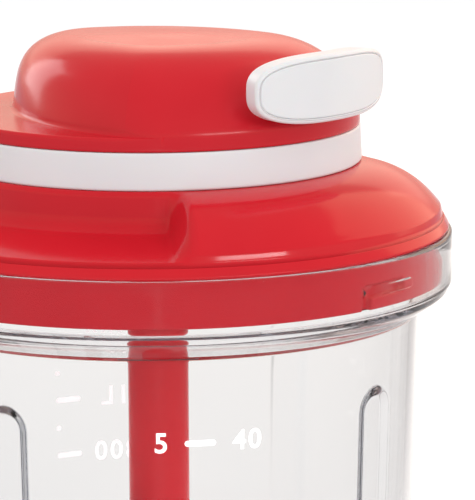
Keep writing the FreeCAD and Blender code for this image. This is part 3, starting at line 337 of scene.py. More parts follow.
def soft_outline(corners, closed=True, spacing=1.5, arc_steps=7):
    """Outline through corners (a, b) or (a, b, radius): each corner is cut by an arc that touches
    both of its runs, and each run is divided into steps of about the spacing."""
    points = np.array([corner[:2] for corner in corners], float)
    radii = [corner[2] if len(corner) == 3 else 0.0 for corner in corners]
    stretches = []
    for index, point in enumerate(points):
        if radii[index] == 0:
            stretches.append(point[None])
            continue
        before = points[index - 1] - point
        after = points[(index + 1) % len(points)] - point
        before /= np.linalg.norm(before)
        after /= np.linalg.norm(after)
        half = math.acos(np.clip(before @ after, -1, 1)) / 2
        inward = (before + after) / np.linalg.norm(before + after)
        centre = point + inward * radii[index] / math.sin(half)
        reach = radii[index] / math.tan(half)
        share = np.linspace(0, 1, arc_steps)[:, None]
        chord = (point + before * reach - centre) * (1 - share) + (point + after * reach - centre) * share
        stretches.append(centre + chord * radii[index] / np.linalg.norm(chord, axis=1, keepdims=True))
    line = []
    for index, stretch in enumerate(stretches):
        line.append(stretch)
        if index + 1 == len(stretches) and not closed:
            break
        following = stretches[(index + 1) % len(stretches)][0]
        count = max(1, int(np.linalg.norm(following - stretch[-1]) / spacing))
        share = np.linspace(0, 1, count + 1)[1:-1, None]
        line.append(stretch[-1] * (1 - share) + following * share)
    return np.concatenate(line)


def evenly(line, count):
    """The same line with a given number of points, evenly spaced along it."""
    steps = np.r_[0, np.cumsum(np.linalg.norm(np.diff(line, axis=0), axis=1))]
    places = np.linspace(0, steps[-1], count)
    return np.stack([np.interp(places, steps, line[:, axis]) for axis in (0, 1)], axis=1)


def spun(outline, angles):
    """Points of an outline (radius, height) turned about the axis to each angle in degrees."""
    turn = np.radians(angles)[:, None]
    radius = outline[..., 0]
    return np.stack([radius * np.cos(turn), radius * np.sin(turn),
                     np.broadcast_to(outline[..., 1], (radius * turn).shape)], axis=2)


def surface(name, points, material, body, stands_for=(), wrap=(True, True)):
    """A smooth mesh through a grid of points. Each cell is one face, the grid closes on itself where wrap
    says so, and rows that meet in a point or a seam are merged."""
    rows, columns = points.shape[:2]
    index = np.arange(rows * columns).reshape(rows, columns)
    if wrap[0]:
        index = np.concatenate([index, index[:1]])
    if wrap[1]:
        index = np.concatenate([index, index[:, :1]], axis=1)
    faces = np.stack([index[:-1, :-1], index[1:, :-1], index[1:, 1:], index[:-1, 1:]], axis=2).reshape(-1, 4)
    mesh = bpy.data.meshes.new(name)
    mesh.vertices.add(rows * columns)
    mesh.vertices.foreach_set("co", (points.reshape(-1) * MM).astype(np.float32))
    mesh.loops.add(faces.size)
    mesh.loops.foreach_set("vertex_index", faces.reshape(-1).astype(np.int32))
    mesh.polygons.add(len(faces))
    mesh.polygons.foreach_set("loop_start", np.arange(0, faces.size, 4, dtype=np.int32))
    mesh.update(calc_edges=True)
    shape = bmesh.new()
    shape.from_mesh(mesh)
    bmesh.ops.remove_doubles(shape, verts=shape.verts, dist=0.002 * MM)
    bmesh.ops.dissolve_degenerate(shape, edges=shape.edges, dist=0.001 * MM)
    bmesh.ops.recalc_face_normals(shape, faces=shape.faces)
    shape.to_mesh(mesh)
    shape.free()
    return finished(name, mesh, material, body, stands_for)


def finished(name, mesh, material, body, stands_for=()):
    """Puts a mesh into the scene as a smooth piece that rides on a body."""
    mesh.polygons.foreach_set("use_smooth", np.ones(len(mesh.polygons), bool))
    mesh.materials.append(material)
    piece = bpy.data.objects.new(name, mesh)
    bpy.context.scene.collection.objects.link(piece)
    if body:
        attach(piece, body)
    if stands_for:
        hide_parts(*stands_for)
    return piece


def wall_radius(height):
    """Outside of the container's drafted wall at a height."""
    share = (height - UNDERSIDE - BASE_CORNER) / (NECK - UNDERSIDE - BASE_CORNER)
    return WALL_BASE_RADIUS + (WALL_TOP_RADIUS - WALL_BASE_RADIUS) * share


def nearest_quarter(angles, turn):
    """Signed angle from the nearest of four places, a quarter turn apart, in degrees."""
    return (angles - turn + 45) % 90 - 45


def bump(distance):
    """One at the middle, falling to nothing at a distance of one along a cosine."""
    return 0.5 + 0.5 * np.cos(np.pi * np.clip(distance, 0, 1))


def step(distance, edge):
    """One inside, nothing outside, with a soft edge of the given width about zero."""
    share = np.clip(0.5 - distance / edge, 0, 1)
    return share * share * (3 - 2 * share)


def pill(across, up, half_width, half_height):
    """Signed distance to a lying pill shape."""
    reach = half_width - half_height
    return np.hypot(across - np.clip(across, -reach, reach), up) - half_height


def block(across, up, half_width, half_height):
    """Distance to a rectangle, measured along its axes and negative inside."""
    return np.maximum(np.abs(across) - half_width, np.abs(up) - half_height)


def make_container():
    """Clear bowl: a closed outline spun about the axis. On the inner wall each rib stands in with soft sides
    and an arched top. Lugs stand in on the inner rim, and pill-shaped marks stand out on the outer rim, with
    soft edges. Angles and rows lie closer together where lugs, marks and ribs are."""
    lug_turns = np.arange(-9.2, -3.2, 0.25)
    mark_turns = np.arange(-1.6, 8.6, 0.3)
    rib_turns = np.arange(8.6, 13.2, 0.5)
    plain_turns = np.arange(13.2, 80.6, 2.8)
    quarter = np.r_[lug_turns, mark_turns, rib_turns, plain_turns]
    angles = np.sort((quarter[:, None] + QUARTERS).ravel())
    fine_rows = np.arange(-2.4, 2.5, 0.2)
    inner_base = WALL_BASE_RADIUS - WALL
    inner_corner = BASE_CORNER - WALL
    inner_top = (WALL_TOP_RADIUS - WALL, NECK + 2.0)
    arch_levels = RIB_ARCH + np.arange(7.0, -1.0, -0.6)
    arch_radii = np.interp(arch_levels, [FLOOR_TOP, inner_top[1]], [inner_base, inner_top[0]])
    outline = soft_outline([
        (0, UNDERSIDE),
        (RING_INNER, UNDERSIDE),
        (RING_INNER, RING_TOP),
        (RING_OUTER, RING_TOP),
        (RING_OUTER, UNDERSIDE),
        (WALL_BASE_RADIUS, UNDERSIDE, BASE_CORNER),
        (WALL_TOP_RADIUS, NECK, 0.9),
        (RIM_RADIUS - 1.0, RIM_FOOT + 0.3, 2.4),
        (RIM_RADIUS, RIM_FOOT + 2.6, 1.2),
        *[(RIM_RADIUS, LUG_MIDDLE + level) for level in fine_rows],
        (RIM_RADIUS, RIM_TOP, 0.9),
        (RIM_INNER, RIM_TOP, 0.6),
        *[(RIM_INNER, LUG_MIDDLE - level) for level in fine_rows],
        (RIM_INNER, RIM_FOOT + 2.6, 1.4),
        (*inner_top, 1.6),
        *zip(arch_radii, arch_levels),
        (inner_base, FLOOR_TOP, inner_corner),
        (BOSS_RADIUS, FLOOR_TOP, 0.8),
        (BOSS_RADIUS, BOSS_TOP, 0.5),
        (PIN_HOLE, BOSS_TOP),
        (PIN_HOLE, PIN_FOOT),
        (0, PIN_FOOT),
    ], spacing=3.0)
    radius = np.broadcast_to(outline[:, 0], (len(angles), len(outline))).copy()
    height = np.broadcast_to(outline[:, 1], radius.shape)
    turn = angles[:, None]
    inner_face = np.arange(len(outline)) > np.argmax(outline[:, 1])
    bowl = inner_face & (outline[:, 0] > BOSS_RADIUS + 20)
    inner_rim = inner_face & (outline[:, 0] > RIM_INNER - 0.5)
    outer_rim = ~inner_face & (outline[:, 0] > RIM_RADIUS - 0.1)
    sideways = np.radians(nearest_quarter(turn, RIB_TURN)) * RIB_RADIUS
    above = np.maximum(height - RIB_ARCH, 0)
    rib = step(np.hypot(sideways, above) - RIB_HALF, RIB_EDGE)
    rib *= bump((FLOOR_TOP + RIB_FADE - height) / RIB_FADE)
    radius -= np.where(bowl, RIB_DEPTH * rib, 0)
    sideways = np.radians(nearest_quarter(turn, LUG_TURN)) * RIM_INNER
    lug = step(block(sideways, height - LUG_MIDDLE, LUG_HALF_WIDTH, LUG_HALF_HEIGHT), LUG_EDGE)
    radius -= np.where(inner_rim, LUG_REACH * lug, 0)
    sideways = np.radians(nearest_quarter(turn, MARK_TURN)) * RIM_RADIUS
    mark = step(pill(sideways, height - MARK_LEVEL, MARK_HALF_WIDTH, MARK_HALF_HEIGHT), MARK_EDGE)
    radius += np.where(outer_rim, MARK_PROUD * mark, 0)
    points = spun(np.stack([radius, height], axis=2), angles)
    surface("clear_container", points, CLEAR_SAN, "container", ["container"])


def wing_edge():
    """How far the cover has risen from recess to wing, against millimetres across the wing's end: a sloped
    wall with a rounded foot and a rounded crest."""
    tall = 8.0
    slope = 4.6
    foot_curve = 2.2
    crest_curve = 2.8
    line = soft_outline([(-8.0, 0), (-slope, 0, foot_curve), (0, tall, crest_curve), (5.0, tall)],
                        closed=False, spacing=0.7)
    return line[:, 0], line[:, 1] / tall


def make_lower_cover():
    """Cover: at each angle the outline is a mix of the recess outline and the wing outline. The skirt's outer
    face has four J-shaped grooves, cut in where a point lies close to a bent line."""
    across, rise = wing_edge()
    turn = np.degrees(across / WING_RADIUS)
    top_turns = np.linspace(-WING_HALF, WING_HALF, 60)[6:-6]
    wing_turns = np.r_[-WING_HALF + turn, top_turns, WING_HALF - turn[::-1]]
    wing_rise = np.r_[rise, np.ones(len(top_turns)), rise[::-1]]
    groove_turns = np.r_[np.arange(-8.2, -4.4, 0.2), np.arange(-4.4, 6.0, 0.8), np.arange(4.0, 5.6, 0.2)]
    groove_turns = (groove_turns[:, None] + QUARTERS).ravel()
    even_turns = np.linspace(0, 360, 90, endpoint=False)
    angles = np.unique(np.round(np.r_[wing_turns, wing_turns + 180, groove_turns, even_turns] % 360, 3))
    off_wing = np.abs((angles + 90) % 180 - 90)
    one_end = wing_turns > 0
    raised = np.interp(off_wing, np.r_[wing_turns[one_end], 90], np.r_[wing_rise[one_end], 0])[:, None, None]

    under = COVER_TOP - COVER_WALL
    lead = soft_outline([(SHAFT_HOLE, under), (SHAFT_HOLE, COVER_TOP), (BAND_RADIUS - 1.2, COVER_TOP)],
                        closed=False, spacing=4.0)
    cone_start = np.array([BAND_RADIUS, COVER_TOP])
    cone_end = np.array([CONE_RADIUS - 0.95, CONE_FOOT + 2.3])
    chord = cone_end - cone_start
    outward = np.array([-chord[1], chord[0]]) / np.linalg.norm(chord)
    share = np.linspace(0, 1, 40)[:, None]
    cone = cone_start + chord * share + outward * CONE_BOW * (1 - (2 * share - 1) ** 2)
    crease = soft_outline([
        (CONE_RADIUS - 0.8, CONE_FOOT + 2.15),
        (CONE_RADIUS - 0.42, CONE_FOOT + 1.7, 0.6),
        (CONE_RADIUS, CONE_FOOT),
    ], closed=False, spacing=0.3)
    wing = evenly(np.r_[cone, crease], 64)
    recess = evenly(soft_outline([
        (BAND_RADIUS, COVER_TOP),
        (RECESS_RADIUS - 0.2, COVER_TOP - 0.9, 0.6),
        (RECESS_RADIUS, RECESS_FLOOR, 4.4),
        (CONE_RADIUS, CONE_FOOT),
    ], closed=False, spacing=0.4), 64)
    edge = soft_outline([
        (CONE_RADIUS + 0.1, CONE_FOOT - 0.4, 0.3),
        (FLANGE_RADIUS - 0.6, FLANGE_FOOT + 1.7, 0.6),
        (FLANGE_RADIUS, FLANGE_FOOT + 0.6, 0.5),
        (FLANGE_RADIUS - 0.4, FLANGE_FOOT, 0.2),
        (SKIRT_OUTER, FLANGE_FOOT, 0.1),
    ], closed=False, spacing=0.5)
    skirt = soft_outline([
        (SKIRT_OUTER, FLANGE_FOOT - 0.3),
        (SKIRT_OUTER, SKIRT_FOOT, 0.5),
        (SKIRT_INNER, SKIRT_FOOT, 0.5),
        (SKIRT_INNER, FLANGE_FOOT + 1.6),
    ], closed=False, spacing=0.4)
    below_wing = evenly(np.array([
        (SKIRT_INNER - 1.5, FLANGE_FOOT + 3.4),
        (WING_RADIUS, COVER_TOP - 9.2),
        (RECESS_RADIUS + 0.6, COVER_TOP - 4.2),
        (RECESS_RADIUS - COVER_WALL, under),
    ]), 24)
    below_recess = evenly(np.array([
        (SKIRT_INNER - 1.5, FLANGE_FOOT + 2.2),
        (RECESS_RADIUS - COVER_WALL + 1.0, RECESS_FLOOR - COVER_WALL - 0.6),
        (RECESS_RADIUS - COVER_WALL, under),
    ]), 24)
    whole = (len(angles), 1, 1)
    outline = np.concatenate([
        np.tile(lead[None], whole),
        recess + (wing - recess) * raised,
        np.tile(np.r_[edge, skirt][None], whole),
        below_recess + (below_wing - below_recess) * raised,
    ], axis=1)

    radius = outline[:, :, 0]
    height = outline[:, :, 1]
    run = nearest_quarter(angles, LUG_TURN)[:, None] * math.radians(1) * SKIRT_OUTER
    lock = math.radians(LOCK_TURN) * SKIRT_OUTER
    mouth = np.hypot(run, np.maximum(height - LUG_MIDDLE, 0))
    lane = np.hypot(run - np.clip(run, 0, lock), height - LUG_MIDDLE)
    cut = step(np.minimum(mouth, lane) - GROOVE_HALF, GROOVE_EDGE)
    column = np.arange(outline.shape[1])
    first = len(lead) + len(wing) + len(edge)
    outer = (column >= first) & (column < first + len(skirt)) & (radius > SKIRT_OUTER - 1.0)
    radius -= np.where(outer, GROOVE_DEPTH * cut, 0)
    surface("cover_shell", spun(outline, angles), GLOSS_RED, "cover", ["lower_cover"])


def make_trim_band():
    """White ring: an outline with rounded edges spun about the axis."""
    outline = soft_outline([
        (BAND_INNER, COVER_TOP + 0.05, 0.4),
        (BAND_RADIUS, COVER_TOP + 0.05, 0.7),
        (LEDGE_RADIUS + 0.1, BAND_TOP - 0.05, 0.5),
        (BAND_INNER, BAND_TOP - 0.05, 0.4),
    ], spacing=0.8)
    surface("white_band", spun(outline, np.linspace(0, 360, 256, endpoint=False)), SATIN_WHITE, "cover",
            ["trim_band"])


def grip_section(front, back):
    """One egg-shaped outline of the grip for each pair of front and back radii: a front arc about the axis,
    corner arcs, long side arcs and a back arc, each touching the next, with as many points in each at every
    height. The side arc's centre is where circles about the corner's and the back's centres cross."""
    front = np.asarray(front)[:, None]
    back = np.asarray(back)[:, None]
    corner = front * GRIP_CORNER
    side = front * GRIP_SIDE
    corner_x = (front - corner) * math.cos(GRIP_MEET)
    corner_y = (front - corner) * math.sin(GRIP_MEET)
    apart = np.hypot(corner_x + GRIP_BACK_CENTRE, corner_y)
    along = (apart ** 2 + (side - corner) ** 2 - (side - back) ** 2) / (2 * apart)
    away = np.sqrt((side - corner) ** 2 - along ** 2)
    unit_x = (-GRIP_BACK_CENTRE - corner_x) / apart
    unit_y = -corner_y / apart
    side_x = corner_x + along * unit_x - away * unit_y
    side_y = corner_y + along * unit_y + away * unit_x
    first = np.arctan2(corner_y - side_y, corner_x - side_x)
    last = np.arctan2(-side_y, -GRIP_BACK_CENTRE - side_x) % (2 * math.pi)
    to_end = np.linspace(0, 1, 30)[None]
    share = to_end[:, :-1]
    front_arc = GRIP_MEET * share
    corner_arc = GRIP_MEET + (first - GRIP_MEET) * share
    side_arc = first + (last - first) * share
    back_arc = last + (math.pi - last) * to_end
    x = np.concatenate([
        front * np.cos(front_arc),
        corner_x + corner * np.cos(corner_arc),
        side_x + side * np.cos(side_arc),
        -GRIP_BACK_CENTRE + back * np.cos(back_arc),
    ], axis=1)
    y = np.concatenate([
        front * np.sin(front_arc),
        corner_y + corner * np.sin(corner_arc),
        side_y + side * np.sin(side_arc),
        back * np.sin(back_arc),
    ], axis=1)
    return np.concatenate([x, x[:, -2:0:-1]], axis=1), np.concatenate([y, -y[:, -2:0:-1]], axis=1)


def drawn_in(share, draft, crown, power, fullness):
    """Size of a grip section at a share of its height: a steady draft that starts softly at the foot, times a
    shoulder that rounds over towards the crown."""
    softness = 0.004
    soft = np.sqrt(share ** 2 + softness) - math.sqrt(softness)
    return (1 - draft * soft) * (crown + (1 - crown) * (1 - share ** power) ** fullness)


def make_grip():
    """Grip: egg-shaped sections stacked up to a rounded crown, and below them a round ledge. Out from each
    point of the foot runs a fillet, a flat and a rounded brow to the ledge's circle, all smaller where the
    gap is small."""
    share = np.sin(np.linspace(0, 1, 60) * math.pi / 2)
    front = LEDGE_RADIUS * drawn_in(share, draft=0.165, crown=0.52, power=3.6, fullness=0.42)
    back = GRIP_BACK * drawn_in(share, draft=0.10, crown=0.28, power=4.2, fullness=0.48)
    side_x, side_y = grip_section(front, back)
    reach = np.hypot(side_x[:1], side_y[:1])
    gap = LEDGE_RADIUS - reach
    brow = np.minimum(LEDGE_BROW, 0.45 * gap)
    fillet = np.minimum(LEDGE_FILLET, 0.5 * gap)
    bend = np.linspace(0, math.pi / 2, 10)[:, None]
    level = np.linspace(0, 1, 10)[1:-1, None]
    none = 0 * gap
    out = np.concatenate([
        gap - 0.6,
        gap - 0.1,
        gap,
        gap,
        gap - brow * (1 - np.cos(bend)),
        gap - brow + (fillet - gap + brow) * level,
        fillet * (1 - np.sin(bend)),
    ])
    rise = np.concatenate([
        none + BAND_TOP + 0.1,
        none + BAND_TOP + 0.1,
        none + BAND_TOP + 0.5,
        none + BAND_TOP + 1.2,
        LEDGE_TOP - brow + brow * np.sin(bend),
        LEDGE_TOP + none * level,
        LEDGE_TOP + fillet * (1 - np.cos(bend)),
    ])
    shelf_x = side_x[:1] * (1 + out / reach)
    shelf_y = side_y[:1] * (1 + out / reach)
    shelf_z = np.broadcast_to(rise, shelf_x.shape)
    lift = LEDGE_TOP + fillet
    side_z = lift + (GRIP_TOP - GRIP_DOME - lift) * share[:, None]
    fade = np.linspace(1, 0, 14)[1:, None]
    top_x = side_x[-1:] * fade
    top_y = side_y[-1:] * fade
    top_z = np.broadcast_to(GRIP_TOP - GRIP_DOME * fade ** 2, top_x.shape)
    points = np.stack([
        np.concatenate([shelf_x, side_x[1:], top_x]),
        np.concatenate([shelf_y, side_y[1:], top_y]),
        np.concatenate([shelf_z, side_z[1:], top_z]),
    ], axis=2)
    surface("grip_shell", points, SATIN_RED, "cover", ["grip_housing"], wrap=(False, True))


def handle_ring(inset, out, shrink):
    """Rounded outlines bent round the axis: superellipses whose half sizes are cut by the inset and then
    shrunk towards the middle, each at its own radius."""
    inset, out, shrink = [np.asarray(values)[:, None] for values in (inset, out, shrink)]
    turn = np.linspace(0, 2 * math.pi, 168, endpoint=False)[None]
    power = 2 / HANDLE_ROUNDNESS
    along = (HANDLE_HALF_LENGTH - inset) * shrink * np.sign(np.cos(turn)) * np.abs(np.cos(turn)) ** power
    up = (HANDLE_HALF_HEIGHT - inset) * shrink * np.sign(np.sin(turn)) * np.abs(np.sin(turn)) ** power
    bend = np.arcsin(along / HANDLE_OUTER)
    return np.stack([out * np.cos(bend), out * np.sin(bend), HANDLE_MIDDLE + up], axis=2)


def handle_solid(profile):
    """A closed solid from a profile of inset and radius: its rings, with both ends shrunk to a point."""
    inward = np.linspace(1, 0, 12)[1:]
    count = len(inward)
    inset = np.r_[np.repeat(profile[0, 0], count), profile[:, 0], np.repeat(profile[-1, 0], count)]
    out = np.r_[np.repeat(profile[0, 1], count), profile[:, 1], np.repeat(profile[-1, 1], count)]
    shrink = np.r_[inward[::-1], np.ones(len(profile)), inward]
    return handle_ring(inset, out, shrink)


def make_handle():
    """Pull handle: a shell with rounded edges and a shallow recess, and a face plate that lies in it."""
    border = 1.2
    recess = 1.5
    gap = 0.06
    face = HANDLE_OUTER - 0.1
    shell = soft_outline([
        (4.0, HANDLE_INNER),
        (0, HANDLE_INNER, 1.8),
        (0, HANDLE_OUTER, 0.9),
        (border, face, 0.25),
        (border, HANDLE_OUTER - recess),
    ], closed=False, spacing=0.6)
    surface("handle_body", handle_solid(shell), SATIN_WHITE, "handle", ["handle_shell"],
            wrap=(False, True))
    plate = soft_outline([
        (border + gap, HANDLE_OUTER - recess + gap),
        (border + gap, face, 0.4),
        (border + 1.0, face),
    ], closed=False, spacing=0.6)
    surface("handle_front", handle_solid(plate), SATIN_WHITE, "handle", ["handle_face"],
            wrap=(False, True))


def tube(route, radius, sides=14):
    """A round tube along a route: rings square to the route's direction, closed by a point at each end."""
    ahead = np.gradient(route, axis=0)
    ahead /= np.linalg.norm(ahead, axis=1, keepdims=True)
    level = np.cross(ahead, [0, 0, 1.0])
    level /= np.linalg.norm(level, axis=1, keepdims=True)
    above = np.cross(level, ahead)
    turn = np.linspace(0, 2 * math.pi, sides, endpoint=False)[None, :, None]
    rings = route[:, None] + radius * (level[:, None] * np.cos(turn) + above[:, None] * np.sin(turn))
    ends = [np.repeat(route[place][None, None], sides, axis=1) for place in (0, -1)]
    return np.concatenate([ends[0], rings, ends[1]])


def make_cords():
    """Cord on the drum, a helix, and the cord from the drum through its guide to the handle: a taut line with
    one bend, on a NURBS spline."""
    turns = np.linspace(0, DRUM_TURNS * 2 * math.pi, 160)
    rise = CORD_LEVEL - 3.2 + CORD_PITCH * turns / (2 * math.pi)
    helix = np.stack([DRUM_RADIUS * np.cos(turns), DRUM_RADIUS * np.sin(turns), rise], axis=1)
    surface("wound_cord", tube(helix, CORD_RADIUS - 0.05), BRAID, "reel", ["cord_winding"],
            wrap=(False, True))
    route = [(9.66, 17.40), (25.0, 8.88), (37.0, 2.22), (41.0, 0.0), (45.6, 0.0), (50.0, 0.0), (54.0, 0.0),
             (58.7, 0.0)]
    curve = bpy.data.curves.new("cord_route", "CURVE")
    curve.dimensions = "3D"
    curve.resolution_u = 12
    spline = curve.splines.new("NURBS")
    spline.points.add(len(route) - 1)
    for point, (x, y) in zip(spline.points, route):
        point.co = (x * MM, y * MM, CORD_LEVEL * MM, 1)
    spline.order_u = 3
    spline.use_endpoint_u = True
    holder = bpy.data.objects.new("cord_route", curve)
    line = bpy.data.meshes.new_from_object(holder)
    places = np.empty(len(line.vertices) * 3, np.float32)
    line.vertices.foreach_get("co", places)
    bpy.data.objects.remove(holder)
    bpy.data.meshes.remove(line)
    places = places.reshape(-1, 3).astype(float) / MM
    cord = surface("cord", tube(places, CORD_RADIUS), BRAID, None, ["pull_cord"],
                   wrap=(False, True))
    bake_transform(cord)


def make_cord_guide():
    """Eyelet where the cord leaves the grip: a ring with a rounded mouth, spun about the cord's line and let
    into the grip's wall."""
    bore = CORD_RADIUS + 0.4
    rim = bore + 2.0
    foot = HANDLE_INNER - 9.4
    lip = HANDLE_INNER - 4.0
    outline = soft_outline([(bore, foot), (rim, foot), (rim, lip, 0.9), (bore, lip, 0.9)], spacing=0.6)
    ring = spun(outline, np.linspace(0, 360, 48, endpoint=False))
    points = np.stack([ring[..., 2], ring[..., 0], CORD_LEVEL + ring[..., 1]], axis=2)
    surface("cord_eyelet", points, NATURAL_ACETAL, "cover", ["cord_guide"])


def on_wall(flat, angle, height):
    """Points of a flat drawing laid on the container's outer wall about a direction and a height."""
    radius = wall_radius(height + flat[:, 1]) + 0.05
    turn = math.radians(angle) + flat[:, 0] / radius
    return np.stack([radius * np.cos(turn), radius * np.sin(turn), height + flat[:, 1]], axis=1)


def printed(name, flat, faces, angle, height):
    """A flat drawing in printing ink on the container's wall."""
    mesh = bpy.data.meshes.new(name)
    mesh.from_pydata((on_wall(flat, angle, height) * MM).tolist(), [], faces)
    mesh.update()
    # The ink's emission is a painted glow, painted light standing in for light behind the marks.
    finished(name, mesh, PRINT_WHITE_PAINTED_GLOW, "container")


def printed_words(name, words, size, spacing, angle, height):
    """Figures in ink: a filled text made a mesh and laid on the wall."""
    text = bpy.data.curves.new(name, "FONT")
    text.body = words
    text.size = size
    text.offset = 0.018 * size
    text.space_character = spacing
    text.align_x = "CENTER"
    text.align_y = "CENTER"
    holder = bpy.data.objects.new(name, text)
    drawing = bpy.data.meshes.new_from_object(holder)
    bpy.data.objects.remove(holder)
    corners = np.empty(len(drawing.vertices) * 3, np.float32)
    drawing.vertices.foreach_get("co", corners)
    faces = [list(face.vertices) for face in drawing.polygons]
    printed(name, corners.reshape(-1, 3)[:, :2].astype(float), faces, angle, height)


def printed_tick(name, length, angle, height):
    """A tick with round ends: a pill outline filled as one strip of faces."""
    count = 25
    along = np.linspace(-1, 1, count) * length / 2
    over = np.maximum(np.abs(along) - (length - TICK_THICK) / 2, 0)
    half = np.sqrt(np.maximum((TICK_THICK / 2) ** 2 - over ** 2, 0))
    flat = np.concatenate([np.stack([along, -half], axis=1), np.stack([along, half], axis=1)])
    first = np.arange(count - 1)
    faces = np.stack([first, first + 1, first + count + 1, first + count], axis=1).tolist()
    printed(name, flat, faces, angle, height)


def make_scale():
    """Volume scales: cups and fluid ounces towards the camera, millilitres on the far side. A figure's size
    and spacing come before its direction."""
    cups = RIM_TOP - 41.7
    printed_tick("tick_cups_5", TICK_LENGTH, VIEW_TURN + 8.5, cups)
    printed_words("figure_cups_5", "5", 7.0, 1.15, VIEW_TURN + 0.4, cups)
    printed_words("figure_ounces_40", "40", 6.9, 1.15, VIEW_TURN + 18.5, cups)
    half_step = 7.9
    for millilitres, words, drop in ((800, "800", 76.5), (1000, "1L", 60.6), (1200, "1200", 44.7)):
        height = RIM_TOP - drop
        printed_tick(f"tick_millilitres_{millilitres}", TICK_LENGTH, VIEW_TURN - 157.0, height)
        printed_tick(f"dot_millilitres_{millilitres + 100}", 1.6, VIEW_TURN - 154.3, height + half_step)
        printed_words(f"figure_millilitres_{millilitres}", words, 7.6, 1.22, VIEW_TURN - 169.3, height)


def finish_cad_nodes():
    """Materials for the CAD nodes that show as they are."""
    finishes = {
        # The column's red is painted lighter: painted light for the light lost behind the clear wall.
        COLUMN_RED_PAINTED_LIGHT: ["blade_column"],
        PALE_RUBBER: ["base_ring"],
        BLADE_STEEL: ["lower_blade", "middle_blade", "upper_blade"],
        TURNED_STEEL: ["pivot_pin", "axle", "plate_screws", "cover_screws", "reel_screws", "recoil_spring",
                       "cord_stop"],
        GREY_NYLON: ["mechanism_plate", "cord_reel", "spring_cover", "drive_coupling"],
        NATURAL_ACETAL: ["drive_bush", "thrust_washer"],
    }
    for material, names in finishes.items():
        for name in names:
            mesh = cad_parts[name].data
            mesh.materials.clear()
            mesh.materials.append(material)


def softbox(name, place, aim, width, height, power, colour="#FFFFFF"):
    """A rectangular area light at a place, turned towards a point."""
    light = bpy.data.lights.new(name, "AREA")
    light.shape = "RECTANGLE"
    light.size = width
    light.size_y = height
    light.energy = power
    light.color = linear(colour)[:3]
    lamp = bpy.data.objects.new(name, light)
    lamp.location = place
    lamp.visible_camera = False
    lamp.rotation_euler = (Vector(aim) - Vector(place)).to_track_quat("-Z", "Y").to_euler()
    bpy.context.scene.collection.objects.link(lamp)


def from_view(right, away, up):
    """A place given by the camera's right, its far direction and up, in metres, as frame coordinates."""
    side = math.radians(VIEW_TURN + 90)
    return (right * math.cos(side) - away * math.cos(math.radians(VIEW_TURN)),
            right * math.sin(side) - away * math.sin(math.radians(VIEW_TURN)), up)


def seen_directly(tree):
    """One for camera, glossy and transmission rays, nothing for the rest."""
    path = add(tree, "ShaderNodeLightPath").outputs
    seen = path["Is Camera Ray"]
    for ray in ("Is Glossy Ray", "Is Transmission Ray"):
        seen = add(tree, "ShaderNodeMath", {0: seen, 1: path[ray]}, operation="MAXIMUM").outputs[0]
    return seen


def make_surround():
    """Pale surround: an even white for matte surfaces. Seen directly it dims upwards, mirrored it is warm."""
    world = bpy.data.worlds.new("white_surround")
    bpy.context.scene.world = world
    world.use_nodes = True
    tree = world.node_tree
    tree.nodes.clear()
    direction = add(tree, "ShaderNodeTexCoord").outputs["Generated"]
    upward = add(tree, "ShaderNodeSeparateXYZ", {"Vector": direction}).outputs["Z"]
    shown = add(tree, "ShaderNodeMapRange", {"Value": upward, "From Min": 0.15, "From Max": 0.75,
                                             "To Min": 0.92, "To Max": 0.45})
    level = add(tree, "ShaderNodeMix", {"Factor": seen_directly(tree), "A": 1.03, "B": shown.outputs[0]})
    mirrored = add(tree, "ShaderNodeLightPath").outputs["Is Glossy Ray"]
    colours = {FACTOR: mirrored, COLOUR_A: linear("#FFFFFF"), COLOUR_B: linear("#FFDCC8")}
    colour = add(tree, "ShaderNodeMix", colours, data_type="RGBA")
    sky = add(tree, "ShaderNodeBackground", {"Color": colour.outputs[COLOUR_OUT],
                                             "Strength": level.outputs[0]})
    add(tree, "ShaderNodeOutputWorld", {"Surface": sky.outputs[0]})


